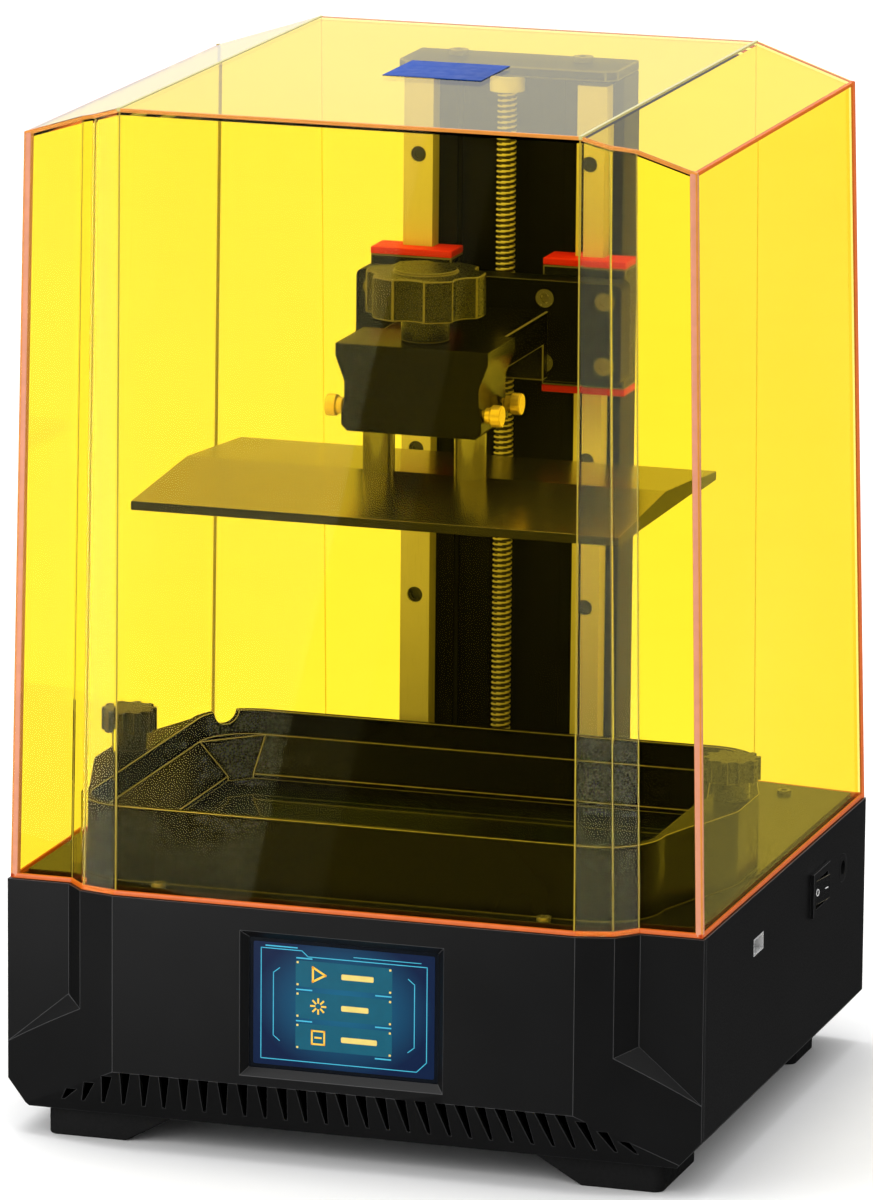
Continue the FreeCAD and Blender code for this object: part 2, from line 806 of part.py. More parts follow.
def make_side_ports():
    port = BASE_TOP - size.port_drop
    outside = HALF_WIDTH
    usb_y, usb_z = span(size.usb_place, size.usb_width), span(port, size.usb_height)
    usb_x = (outside - size.usb_length, outside)
    shell = block("usb_shell", usb_x, usb_y, usb_z)
    wall = size.usb_wall
    mouth = block(
        "usb_mouth",
        (usb_x[0] + wall, outside + PAST),
        (usb_y[0] + wall, usb_y[1] - wall),
        (usb_z[0] + wall, usb_z[1] - wall),
    )
    tongue_z = (usb_z[1] - wall * 4, usb_z[1] - wall * 2)
    tongue = block("usb_tongue", (usb_x[0] + wall, outside - wall * 3),
                   (usb_y[0] + wall * 3, usb_y[1] - wall * 3), tongue_z)
    keep(join("usb_port", cut("usb_can", shell, mouth), tongue))

    switch_y = span(size.switch_place, size.switch_width)
    switch_z = span(port, size.switch_height)
    flange, rim = size.switch_flange, size.switch_rim
    plate = block(
        "switch_plate",
        (outside, outside + flange),
        (switch_y[0] - rim, switch_y[1] + rim),
        (switch_z[0] - rim, switch_z[1] + rim),
    )
    case = block("switch_case", (outside - size.switch_length, outside), switch_y, switch_z)
    well = block(
        "switch_well",
        (outside - size.switch_length / 2, outside + flange + PAST),
        (switch_y[0] + rim, switch_y[1] - rim),
        (switch_z[0] + rim, switch_z[1] - rim),
    )
    sink = size.rocker_pin_sink
    pivot_z = (switch_z[0] + rim - sink, switch_z[1] - rim + sink)
    pivot = (outside - size.rocker_pin_sink, size.switch_place, pivot_z[0])
    pivot_hole = rod("switch_pivot_hole", size.rocker_pin + size.fit_gap, pivot, pivot_z[1] - pivot_z[0])
    keep(cut("switch_housing", join("switch_solid", plate, case), well, pivot_hole))
    pin = rod("rocker_pivot_pin", size.rocker_pin, pivot, pivot_z[1] - pivot_z[0])
    keep(join("power_rocker", make_rocker(switch_y, switch_z, outside + flange), pin))

    jack = rod("jack_body", size.jack_radius, (outside - size.jack_length, JACK_Y, port),
               size.jack_length, "x")
    bore_start = outside - size.jack_length + size.usb_wall * 4
    bore = rod("jack_bore_cut", size.jack_bore, (bore_start, JACK_Y, port), size.jack_length, "x")
    pin_length = outside - bore_start - size.usb_wall * 2
    pin = rod("jack_centre", size.jack_pin, (bore_start, JACK_Y, port), pin_length, "x")
    keep(join("power_jack", cut("jack_shell", jack, bore), pin))


def make_rocker(switch_y, switch_z, face):
    """The rocker: a shallow V seen from above that turns about a vertical line."""
    clear = size.switch_rim + size.rocker_gap
    near, far = switch_y[0] + clear, switch_y[1] - clear
    middle = measure(size.switch_place)
    dip = (far - middle) * math.tan(math.radians(size.rocker_tilt.value))
    root = face - size.switch_flange - size.rocker_gap * 2
    body = new_body("rocker_wing")
    corners = [(face - dip, near), (face, middle), (face + dip, far), (root, far), (root - dip, middle),
               (root, near)]
    pad(body, "block", "xy", corners, (switch_z[0] + clear, switch_z[1] - clear))
    return body


def make_deck():
    body = new_body("top_deck")
    pad(body, "flange", "xy", stepped_plan(size.housing_wall + size.seat_gap), (DECK_BOTTOM, BASE_TOP))
    raised = size.cover_inset + size.cover_wall + size.deck_groove
    pad(body, "platform", "xy", stepped_plan(raised), (BASE_TOP, DECK_TOP))
    centre = PLATFORM_Y
    border = size.mask_border
    seat = rectangle(MASK_X + border + size.seat_gap, MASK_Y + border + size.seat_gap, centre)
    pocket(body, "mask_seat", seat, (DECK_TOP - size.mask_glass, DECK_TOP))
    light = rectangle(MASK_X, MASK_Y, centre)
    pocket(body, "light_window", light, (DECK_BOTTOM, DECK_TOP - size.mask_glass))
    drive = size.coupling_radius + size.run_gap * 4
    pocket_round(body, "drive_hole", drive, [(0.0, SCREW_Y)], (DECK_BOTTOM, DECK_TOP))
    studs = [(-VAT_KNOB_X, VAT_KNOB_Y), (VAT_KNOB_X, VAT_KNOB_Y)]
    pocket_round(body, "stud_holes", size.stud_radius + size.fit_gap, studs, (DECK_BOTTOM, DECK_TOP))
    pocket_round(body, "screw_holes", size.deck_screw_shank, deck_screw_spots(), (DECK_BOTTOM, DECK_TOP))
    keep(body)
    screws = []
    for index, (across, along) in enumerate(deck_screw_spots()):
        shank = rod(f"deck_shank_{index}", size.deck_screw_shank, (across, along, DECK_BOTTOM),
                    DECK_TOP - DECK_BOTTOM)
        head = rod(f"deck_head_{index}", size.deck_screw_head, (across, along, DECK_TOP),
                   size.deck_screw_height)
        socket_start = DECK_TOP + size.deck_screw_height / 2
        hollow = rod(f"deck_socket_{index}", size.deck_screw_head / 2, (across, along, socket_start),
                     size.deck_screw_height)
        screws.append(cut(f"deck_screw_{index}", join(f"deck_pin_{index}", shank, head), hollow))
    keep(group("deck_screws", screws))
    width = MASK_X + border
    depth = MASK_Y + border
    limits = (centre - depth, centre + depth)
    keep(block("exposure_screen", (-width, width), limits, (DECK_TOP - size.mask_glass, DECK_TOP)))


def deck_screw_spots():
    front = FRONT + size.deck_screw_setback
    rear = REAR - size.deck_screw_rear_setback
    side = size.deck_screw_place
    corner = HALF_WIDTH - size.deck_screw_rear_gap
    return [(-side, front), (side, front), (-corner, rear), (corner, rear)]


def make_lamp():
    """Light source under the exposure screen: sink, lamp board, lens plate and shroud."""
    centre = PLATFORM_Y
    half_x, half_y = MASK_X - size.lamp_side_margin, MASK_Y - size.lamp_end_margin
    base_top = FLOOR_TOP + size.sink_height
    wide = (-half_x, half_x)
    deep = (centre - half_y, centre + half_y)
    slab = block("sink_slab", wide, deep, (base_top - size.sink_base, base_top))
    count = int(2 * half_x.value / size.fin_pitch.value)
    fins = []
    for index in range(count + 1):
        across = size.fin_pitch * index - size.fin_pitch * count / 2
        limits = span(across, size.fin_width)
        fins.append(block(f"sink_fin_{index}", limits, deep, (FLOOR_TOP, base_top - size.sink_base)))
    keep(join("lamp_heat_sink", slab, *fins))
    board_top = base_top + size.lamp_board
    keep(block("lamp_board", wide, deep, (base_top, board_top)))
    lens_top = board_top + size.lens_plate
    keep(block("lens_plate", wide, deep, (board_top, lens_top)))
    keep(make_shroud(half_x, half_y, lens_top))


def make_shroud(half_x, half_y, bottom):
    """A tapered duct from the lens plate up to the underside of the deck."""
    centre = PLATFORM_Y
    wall = size.shroud_wall
    top_x, top_y = MASK_X + wall, MASK_Y + wall
    outside = loft(
        "shroud_outside",
        outline("shroud_foot", "xy", rectangle(half_x, half_y, centre), bottom),
        outline("shroud_head", "xy", rectangle(top_x, top_y, centre), DECK_BOTTOM),
    )
    inside = loft(
        "shroud_inside",
        outline("shroud_throat", "xy", rectangle(half_x - wall, half_y - wall, centre), bottom),
        outline("shroud_mouth", "xy", rectangle(top_x - wall, top_y - wall, centre), DECK_BOTTOM),
    )
    return cut("light_shroud", outside, inside)


def make_vat():
    centre = PLATFORM_Y
    half_x, half_y = VAT_X, VAT_Y
    rim = DECK_TOP + size.vat_height
    ear_x = half_x + size.ear_reach
    ear_root = half_y - size.vat_round - size.ear_corner_gap
    right = [
        (half_x, centre - half_y),
        (half_x, centre - ear_root),
        (ear_x, centre - size.ear_tip),
        (ear_x, centre + size.ear_tip),
        (half_x, centre + ear_root),
        (half_x, centre + half_y),
    ]
    body = new_body("resin_vat")
    pad(body, "block", "xy", both_sides(right), (DECK_TOP, rim))
    lip_x, lip_y = half_x - size.vat_wall, half_y - size.vat_wall
    lip_bottom = rim - size.vat_lip
    pocket(body, "lip", rectangle(lip_x, lip_y, centre), (lip_bottom, rim))
    limits = (centre.value - lip_y.value, centre.value + lip_y.value)
    round_edges(body, "lip_corners", size.vat_round - size.vat_wall,
                lambda edge: upright(edge) and near_any(edge, limits))
    ends = (centre.value - half_y.value, centre.value + half_y.value)
    round_edges(body, "corners", size.vat_round, lambda edge: upright(edge) and near_any(edge, ends))
    round_edges(
        body, "ears", size.ear_round,
        lambda edge: upright(edge) and abs(abs(edge.Vertexes[0].X) - ear_x.value) < EDGE_SLACK,
    )
    sill = DECK_TOP + size.vat_sill
    hole = trimmed(WINDOW_X, WINDOW_Y, size.frame_width, centre)
    pocket(body, "window", hole, (DECK_TOP, lip_bottom))
    frame_x = WINDOW_X + size.frame_width + size.seat_gap
    frame_y = WINDOW_Y + size.frame_width + size.seat_gap
    frame_top = DECK_TOP + size.film_lift + size.film + size.frame_height
    pocket(body, "frame_seat", rectangle(frame_x, frame_y, centre), (DECK_TOP, frame_top))
    studs = [(-VAT_KNOB_X, VAT_KNOB_Y), (VAT_KNOB_X, VAT_KNOB_Y)]
    pocket_round(body, "stud_holes", size.stud_radius + size.run_gap, studs, (DECK_TOP, rim))
    slope = loft(
        "vat_slope",
        outline("vat_slope_foot", "xy", hole, sill),
        outline("vat_slope_head", "xy", trimmed(lip_x, lip_y, size.vat_round - size.vat_wall, centre),
                lip_bottom),
    )
    spout = rod("pour_spout", size.pour_radius, (-half_x, centre + half_y, rim), size.vat_round * 2, "x")
    spout.Placement = FreeCAD.Placement(FreeCAD.Vector(), FreeCAD.Rotation(Z_AXIS, -45) * AXIS_TURNS["x"])
    place(spout, (-half_x, centre + half_y, rim))
    keep(cut("vat_body", body, slope, spout))

    film_bottom = DECK_TOP + size.film_lift
    outer_x = WINDOW_X + size.frame_width
    outer_y = WINDOW_Y + size.frame_width
    inner = (WINDOW_X, WINDOW_Y)
    lift = (film_bottom + size.film, frame_top)
    ring = block("frame_plate", (-outer_x, outer_x), (centre - outer_y, centre + outer_y), lift)
    gap = block(
        "frame_gap",
        (-inner[0], inner[0]),
        (centre - inner[1], centre + inner[1]),
        (lift[0] - PAST, lift[1] + PAST),
    )
    keep(cut("film_frame", ring, gap))
    keep(block("release_film", (-outer_x, outer_x), (centre - outer_y, centre + outer_y),
               (film_bottom, lift[0])))


def near_any(edge, places):
    """True when the edge stands at one of these places along Y."""
    return any(abs(edge.Vertexes[0].Y - spot) < EDGE_SLACK for spot in places)


def make_vat_knob(name, side):
    """A fluted thumb knob whose stem clamps the vat's ear to the deck."""
    rim = DECK_TOP + size.vat_height
    centre = (VAT_KNOB_X * side, VAT_KNOB_Y)
    seat = rim + size.run_gap
    head = seat + size.vat_knob_stem_height
    top = head + size.vat_knob_height
    knob = rod(f"{name}_head", size.vat_knob_radius, (*centre, head), size.vat_knob_height)
    count = int(round(size.vat_knob_flutes.value))
    flutes = []
    for index in range(count):
        angle = 2 * math.pi * index / count
        across = centre[0] + size.vat_knob_radius * math.cos(angle)
        along = centre[1] + size.vat_knob_radius * math.sin(angle)
        flutes.append(rod(f"{name}_flute_{index}", size.vat_knob_flute, (across, along, head - PAST),
                          top - head + PAST * 2))
    grip = cut(f"{name}_grip", knob, *flutes)
    stem = rod(f"{name}_stem", size.vat_knob_stem, (*centre, seat), head - seat)
    stud = rod(f"{name}_stud", size.stud_radius, (*centre, DECK_BOTTOM), seat - DECK_BOTTOM)
    keep(join(name, grip, stem, stud))


def make_column():
    body = new_body("z_column")
    front, rear = COLUMN_FRONT, COLUMN_FRONT + size.column_depth
    half = size.column_width / 2
    groove = size.channel_width / 2
    channel = front + size.channel_depth
    bevel = size.column_corner
    right = [
        (groove, channel),
        (groove, front),
        (half - bevel, front),
        (half, front + bevel),
        (half, rear),
    ]
    top = DECK_TOP + size.column_height
    pad(body, "profile", "xy", both_sides(right), (DECK_TOP, top))
    keep(body)

    cap = new_body("column_cap")
    ahead = front - size.cap_overhang
    bevel = size.cap_corner
    plan = both_sides([(half - bevel, ahead), (half, ahead + bevel), (half, rear)])
    pad(cap, "plate", "xy", plan, (top, top + size.cap_height))
    keep(cap)
    middle = (front + rear) / 2
    screws = []
    for word, side in (("left", -1.0), ("right", 1.0)):
        spot = (size.cap_screw_place * side, middle, top + size.cap_height)
        head = rod(f"cap_head_{word}", size.cap_screw_radius, spot, size.cap_screw_height)
        hollow_z = top + size.cap_height + size.cap_screw_height / 2
        hollow = rod(f"cap_socket_{word}", size.socket_radius, (spot[0], middle, hollow_z),
                     size.cap_screw_height)
        screws.append(cut(f"cap_screw_{word}", head, hollow))
    keep(group("cap_screws", screws))
    make_rails(front, top)


def make_rails(front, top):
    """Two guide rails, each with a row of sunk screws."""
    face = front - size.rail_height
    length = size.column_height - size.rail_top_gap
    count = int((length.value - size.rail_first.value) / size.rail_pitch.value) + 1
    screws = []
    for word, side in (("left", -1.0), ("right", 1.0)):
        middle = size.rail_place * side
        bar = block(f"rail_bar_{word}", span(middle, size.rail_width), (face, front),
                    (DECK_TOP, DECK_TOP + length))
        holes = []
        for index in range(count):
            height = DECK_TOP + size.rail_first + size.rail_pitch * index
            sunk = (middle, face, height)
            holes.append(rod(f"rail_hole_{word}_{index}", size.rail_screw_head, sunk,
                             size.rail_screw_depth, "y"))
            head = rod(f"rail_head_{word}_{index}", size.rail_screw_head, (middle, face + PAST, height),
                       size.rail_screw_depth - PAST, "y")
            hollow = rod(f"rail_socket_{word}_{index}", size.socket_radius, (middle, face, height),
                         PAST * 2, "y")
            screws.append(cut(f"rail_screw_{word}_{index}", head, hollow))
        keep(cut(f"rail_{word}", bar, *holes))
    keep(group("rail_screws", screws))


def make_drive():
    axis_y = SCREW_Y
    top = DECK_TOP + size.column_height
    coupling_top = DECK_BOTTOM - size.coupling_drop
    coupling_bottom = coupling_top - size.coupling_length
    half = coupling_bottom + size.coupling_length / 2
    keep(rod("lead_screw", size.screw_radius, (0.0, axis_y, half), top - size.run_gap - half))
    ring = rod("bearing_ring", size.bearing_radius, (0.0, axis_y, top - size.bearing_height),
               size.bearing_height)
    bore = rod("bearing_bore", size.screw_radius + size.fit_gap,
               (0.0, axis_y, top - size.bearing_height - PAST),
               size.bearing_height + PAST * 2)
    keep(cut("upper_bearing", ring, bore))
    motor_top = coupling_bottom - size.coupling_gap
    sleeve = rod("coupling_sleeve", size.coupling_radius, (0.0, axis_y, coupling_bottom),
                 size.coupling_length)
    screw_hole = rod("coupling_upper", size.screw_radius, (0.0, axis_y, half), size.coupling_length)
    shaft_hole = rod("coupling_lower", size.motor_shaft, (0.0, axis_y, coupling_bottom - PAST),
                     half - coupling_bottom + PAST)
    keep(cut("shaft_coupling", sleeve, screw_hole, shaft_hole))
    keep(rod("motor_shaft", size.motor_shaft, (0.0, axis_y, motor_top + size.run_gap),
             half - motor_top - size.run_gap))
    make_motor(axis_y, motor_top)


def make_motor(axis_y, motor_top):
    half = size.motor_width / 2
    body = new_body("z_motor")
    pad(body, "case", "xy", rectangle(half, half, axis_y), (motor_top - size.motor_height, motor_top))
    round_edges(body, "corners", size.motor_corner, upright)
    keep(body)
    wall = size.bracket_wall
    plate_z = (motor_top, motor_top + wall)
    wide = (-half - wall, half + wall)
    deep = (axis_y - half, axis_y + half)
    plate = block("bracket_plate", wide, deep, plate_z)
    hole = rod("bracket_hole", size.coupling_radius, (0.0, axis_y, motor_top - PAST), wall + PAST * 2)
    left = block("bracket_left", (-half - wall, -half), deep, (plate_z[1], DECK_BOTTOM))
    right = block("bracket_right", (half, half + wall), deep, (plate_z[1], DECK_BOTTOM))
    keep(join("motor_bracket", cut("bracket_floor", plate, hole), left, right))


def make_carriage():
    centre = size.carriage_height
    block_rear = COLUMN_FRONT - size.block_rear_gap
    block_front = block_rear - size.block_depth
    plate_front = block_front - size.carriage_plate
    half_x, half_z = size.carriage_width / 2, size.carriage_length / 2
    body = new_body("carriage_blank")
    corners = [(-half_x, centre - half_z), (half_x, centre - half_z), (half_x, centre + half_z),
               (-half_x, centre + half_z)]
    pad(body, "plate", "xz", corners, (-block_front, -plate_front))
    round_edges(body, "corners", size.carriage_round, runs_deep)
    sinks, screws = [], []
    for index, (across, height) in enumerate(block_screw_spots(centre)):
        start = (across, plate_front, height)
        sinks.append(rod(f"plate_sink_{index}", size.block_screw_head, start, size.block_screw_sink, "y"))
        lower = (across, plate_front + size.run_gap, height)
        head = rod(f"plate_head_{index}", size.block_screw_head, lower,
                   size.block_screw_sink - size.run_gap, "y")
        hollow = rod(f"plate_socket_{index}", size.socket_radius, start, size.block_screw_sink / 2, "y")
        screws.append(cut(f"plate_screw_{index}", head, hollow))
    keep(cut("carriage_plate", body, *sinks))
    keep(group("carriage_screws", screws))
    low, high = centre - size.block_length / 2, centre + size.block_length / 2
    seals = []
    for word, side in (("left", -1.0), ("right", 1.0)):
        middle = size.rail_place * side
        keep(rail_clip(f"bearing_block_{word}", middle, size.slide_gap, (low, high)))
        seals.append(rail_clip(f"lower_seal_{word}", middle, size.run_gap, (low - size.seal_length, low)))
        seals.append(rail_clip(f"upper_seal_{word}", middle, size.run_gap,
                               (high, high + size.seal_length)))
    keep(group("block_seals", seals))
    make_nut(centre, block_front)
    make_arm(centre, plate_front)


def runs_deep(edge):
    """True for a straight edge along Y."""
    ends = [vertex.Point for vertex in edge.Vertexes]
    return len(ends) == 2 and (ends[0] - ends[1]).cross(Y_AXIS).Length < EDGE_SLACK


def block_screw_spots(centre):
    spots = []
    for side in (-1.0, 1.0):
        for across in (-0.5, 0.5):
            for along in (-0.5, 0.5):
                spot_x = size.rail_place * side + size.block_screw_across * across
                spots.append((spot_x, centre + size.block_screw_along * along))
    return spots


def rail_clip(name, middle, gap, limits):
    """A bearing section that wraps three sides of a rail."""
    rear = COLUMN_FRONT - size.block_rear_gap
    front = rear - size.block_depth
    roof = COLUMN_FRONT - size.rail_height - gap
    half = size.block_width / 2
    slot = size.rail_width / 2 + gap
    corners = [
        (middle - half, front),
        (middle + half, front),
        (middle + half, rear),
        (middle + slot, rear),
        (middle + slot, roof),
        (middle - slot, roof),
        (middle - slot, rear),
        (middle - half, rear),
    ]
    return extrude(name, "xy", corners, limits)


def make_nut(centre, face):
    """The brass nut on the lead screw and the bracket that ties it to the carriage."""
    axis_y = SCREW_Y
    half = size.nut_bracket_width / 2
    along = span(centre, size.nut_bracket_length)
    deep = (face, axis_y + size.nut_radius + size.nut_bracket_wall)
    solid = block("nut_block", (-half, half), deep, along)
    hole = rod("nut_seat", size.nut_radius, (0.0, axis_y, along[0] - PAST),
               size.nut_bracket_length + PAST * 2)
    keep(cut("nut_bracket", solid, hole))
    low = centre - size.nut_length / 2
    blank = rod("nut_blank", size.nut_radius, (0.0, axis_y, low), size.nut_length)
    bore = rod("nut_bore", size.screw_radius + size.fit_gap, (0.0, axis_y, low - PAST),
               size.nut_length + PAST * 2)
    keep(cut("lead_nut", blank, bore))


def make_arm(centre, face):
    top = centre + size.arm_rise
    bottom = top - size.arm_height
    clamp_rear = PLATFORM_Y + size.clamp_depth / 2
    half = size.arm_width / 2
    foot_y = face - size.arm_foot
    foot = block("arm_foot_plate", (-half, half), (foot_y, face), (top - size.arm_foot_height, top))
    beam = block("arm_beam", (-half, half), (clamp_rear, foot_y), (bottom, top))
    tongue_half = size.tongue_width / 2
    tip = PLATFORM_Y - size.clamp_depth / 2 + size.clamp_end_wall
    tongue = block("arm_tongue", (-tongue_half, tongue_half), (tip, clamp_rear),
                   (bottom, bottom + size.tongue_height))
    keep(join("platform_arm", foot, beam, tongue))


def make_clamp():
    centre = PLATFORM_Y
    top = size.carriage_height + size.clamp_rise
    bottom = top - size.clamp_height
    arm_bottom = size.carriage_height + size.arm_rise - size.arm_height
    front, rear = centre - size.clamp_depth / 2, centre + size.clamp_depth / 2
    wide, waist, foot = size.clamp_top_width / 2, size.clamp_waist_width / 2, size.clamp_bottom_width / 2
    flare = size.clamp_flare
    right = [
        (foot - flare, bottom),
        (foot, bottom + flare),
        (foot, bottom + flare * 3),
        (waist, bottom + flare * 5),
        (waist, top - flare * 6),
        (wide, top - flare * 2),
        (wide, top),
    ]
    solid = extrude("clamp_solid", "xz", both_sides(right), (front, rear))
    slot_half = size.tongue_width / 2
    slot_front = front + size.clamp_end_wall
    slot = block("clamp_slot", (-slot_half, slot_half), (slot_front, rear + PAST),
                 (arm_bottom, arm_bottom + size.tongue_height + size.run_gap))
    cavity_half = waist - size.clamp_side_wall
    floor = bottom + size.yoke_lift
    cavity_y = (front + size.clamp_end_wall, rear - size.clamp_end_wall)
    cavity = block("clamp_cavity", (-cavity_half, cavity_half), cavity_y,
                   (floor, floor + size.clamp_cavity_height))
    panel_half = wide - size.clamp_panel_inset
    panel_z = (top - size.clamp_panel_drop, top - size.clamp_panel_inset / 2)
    panel = block("clamp_panel", (-panel_half, panel_half),
                  (front - PAST, front + size.clamp_panel_depth), panel_z)
    bore_z = arm_bottom + size.tongue_height
    knob_bore = rod("clamp_knob_bore", size.knob_shaft + size.fit_gap, (0.0, centre, bore_z),
                    top - bore_z + PAST)
    holes = [slot, cavity, panel, knob_bore]
    for word, side in (("left", -1.0), ("right", 1.0)):
        spot = (size.post_place * side, centre, bottom - PAST)
        holes.append(rod(f"clamp_post_hole_{word}", size.post_radius + size.run_gap, spot,
                         size.yoke_lift + PAST * 2))
    for name, side, along in level_screw_spots():
        shank = size.level_screw_shank + size.fit_gap
        start = -foot - PAST if side < 0 else cavity_half - PAST
        holes.append(rod(f"{name}_hole", shank, (start, along, level_screw_height()),
                         foot - cavity_half + PAST * 2, "x"))
    keep(cut("clamp_block", solid, *holes))
    make_level_screws()
    make_platform(bottom, floor)
    make_platform_knob(top, bore_z)


def level_screw_height():
    """Half way up the levelling yoke."""
    bottom = size.carriage_height + size.clamp_rise - size.clamp_height
    return bottom + size.yoke_lift + size.yoke_height / 2


def level_screw_spots():
    spots = []
    for word, side in (("left", -1.0), ("right", 1.0)):
        for place_word, along in (("front", -0.5), ("rear", 0.5)):
            spot_y = PLATFORM_Y + size.level_screw_spread * along
            spots.append((f"level_screw_{place_word}_{word}", side, spot_y))
    return spots


def make_level_screws():
    tip = size.post_place + size.post_radius + size.run_gap
    wall = size.clamp_bottom_width / 2 + size.run_gap
    height = level_screw_height()
    for name, side, along in level_screw_spots():
        pieces = []
        start = tip
        stages = (
            ("shank", size.level_screw_shank, wall - tip),
            ("collar", size.level_screw_collar, size.level_screw_collar_length),
            ("head", size.level_screw_head, size.level_screw_head_length),
        )
        for word, radius, length in stages:
            near = start if side > 0 else -start - length
            pieces.append(rod(f"{name}_{word}", radius, (near, along, height), length, "x"))
            start = start + length
        keep(join(name, *pieces))


def make_platform(clamp_bottom, yoke_bottom):
    centre = PLATFORM_Y
    bottom = clamp_bottom - size.plate_drop
    edge = bottom + size.plate_edge
    crown = edge + size.plate_crown
    half_x, half_y = WINDOW_X - size.plate_side_gap, WINDOW_Y - size.plate_end_gap
    section = [
        (centre - half_y, bottom),
        (centre + half_y, bottom),
        (centre + half_y, edge),
        (centre, crown),
        (centre - half_y, edge),
    ]
    plate = extrude("plate_blank", "yz", section, (-half_x, half_x))
    foot = crown - size.post_sink
    sockets, posts = [], []
    for word, side in (("left", -1.0), ("right", 1.0)):
        spot = (size.post_place * side, centre, foot)
        sockets.append(rod(f"post_socket_{word}", size.post_radius, spot, size.post_sink + PAST))
        posts.append(rod(f"platform_post_{word}", size.post_radius, spot, yoke_bottom - foot))
    keep(cut("build_plate", plate, *sockets))
    keep(group("platform_posts", posts))
    yoke_x = size.post_place + size.post_radius
    yoke_y = size.clamp_depth / 2 - size.clamp_end_wall - size.run_gap * 4
    yoke_z = (yoke_bottom, yoke_bottom + size.yoke_height)
    keep(block("levelling_yoke", (-yoke_x, yoke_x), (centre - yoke_y, centre + yoke_y), yoke_z))


def make_platform_knob(seat, shaft_end):
    """A lobed hand knob on the clamp; its shaft presses on the arm's tongue."""
    centre = PLATFORM_Y
    stem_bottom = seat + size.run_gap
    head = stem_bottom + size.knob_stem_height
    disc = rod("knob_disc", size.knob_radius, (0.0, centre, head), size.knob_height)
    count = int(round(size.knob_lobes.value))
    scallops = []
    for index in range(count):
        angle = 2 * math.pi * (index + 0.5) / count
        across = size.knob_scallop_reach * math.cos(angle)
        along = centre + size.knob_scallop_reach * math.sin(angle)
        spot = (across, along, head - PAST)
        scallops.append(rod(f"knob_scallop_{index}", size.knob_scallop, spot,
                            size.knob_height + PAST * 2))
    grip = cut("knob_grip", disc, *scallops)
    boss = rod("knob_boss_disc", size.knob_boss, (0.0, centre, head + size.knob_height),
               size.knob_boss_height)
    stem = rod("knob_stem_rod", size.knob_stem, (0.0, centre, stem_bottom), size.knob_stem_height)
    shaft_low = shaft_end + size.run_gap
    shaft = rod("knob_shaft_rod", size.knob_shaft, (0.0, centre, shaft_low), stem_bottom - shaft_low)
    keep(join("platform_knob", grip, boss, stem, shaft))


def cover_solid(name, inset, low, drop):
    """The hood as a block: a leaning plan trimmed to its roof line, lowered by drop."""
    top = BASE_TOP + size.cover_height
    plan = loft(
        f"{name}_walls",
        outline(f"{name}_foot", "xy", stepped_plan(inset), low),
        outline(f"{name}_head", "xy", stepped_plan(inset, 1.0), top),
    )
    fold = FOLD - size.cover_fold_lean
    shoulder = HALF_WIDTH - size.cover_side_lean - size.cover_inset
    eave = top - drop - size.cover_shoulder * (HALF_WIDTH - fold) / (shoulder - fold)
    roof = both_sides([(HALF_WIDTH, low), (HALF_WIDTH, eave), (fold, top - drop)])
    return overlap(name, plan, extrude(f"{name}_roof", "xz", roof, (FRONT, REAR)))


def make_cover():
    low = BASE_TOP + size.cover_lift
    outside = cover_solid("cover_outside", size.cover_inset, low, measure(0.0))
    inside = cover_solid("cover_inside", size.cover_inset + size.cover_wall, low, size.cover_wall)
    keep(cut("cover", outside, inside))
    top = BASE_TOP + size.cover_height
    across = span(size.sticker_offset, size.sticker_width)
    keep(block("cover_sticker", across, span(size.sticker_place, size.sticker_depth),
               (top, top + size.sticker_sheet)))


def make_fan():
    """A cooling fan behind the rear vents: frame with a centre pin, and a bladed rotor."""
    rear = REAR - size.housing_wall
    front = rear - size.fan_depth
    height = BASE_BOTTOM + size.fan_lift
    middle = size.fan_place
    frame_x, frame_z = span(middle, size.fan_width), span(height, size.fan_width)
    bore_radius = size.fan_width / 2 - size.fan_pin
    shell = block("fan_shell", frame_x, (front, rear), frame_z)
    bore = rod("fan_bore", bore_radius, (middle, front - PAST, height), size.fan_depth + PAST * 2, "y")
    strut = size.fan_pin
    bar = block("fan_bar", frame_x, (front, front + strut), span(height, size.fan_pin * 3))
    pin = rod("fan_pin_rod", size.fan_pin, (middle, front, height), size.fan_depth - strut, "y")
    keep(join("fan_frame", cut("fan_ring", shell, bore), bar, pin))
    rotor_front = front + strut + size.run_gap
    rotor_length = size.fan_depth - strut - size.run_gap * 2 - size.fan_tip_gap
    hub = rod("fan_hub_rod", size.fan_hub, (middle, rotor_front, height), rotor_length, "y")
    reach = bore_radius - size.fan_tip_gap
    count = int(round(size.fan_blades.value))
    blades = []
    for index in range(count):
        blade = block(f"fan_blade_{index}", (0.0, reach), (0.0, rotor_length),
                      (-size.blade_width / 2, size.blade_width / 2))
        turn = FreeCAD.Rotation(Y_AXIS, 360.0 * index / count)
        blade.Placement = FreeCAD.Placement(FreeCAD.Vector(), turn)
        lean = size.blade_width / 2
        place(blade, (middle - lean * math.sin(math.radians(360.0 * index / count)), rotor_front,
                      height - lean * math.cos(math.radians(360.0 * index / count))))
        blades.append(blade)
    solid = join("fan_rotor_solid", hub, *blades)
    axle = rod("fan_axle", size.fan_pin + size.fit_gap, (middle, rotor_front - PAST, height),
               rotor_length + PAST * 2, "y")
    keep(cut("fan_rotor", solid, axle))


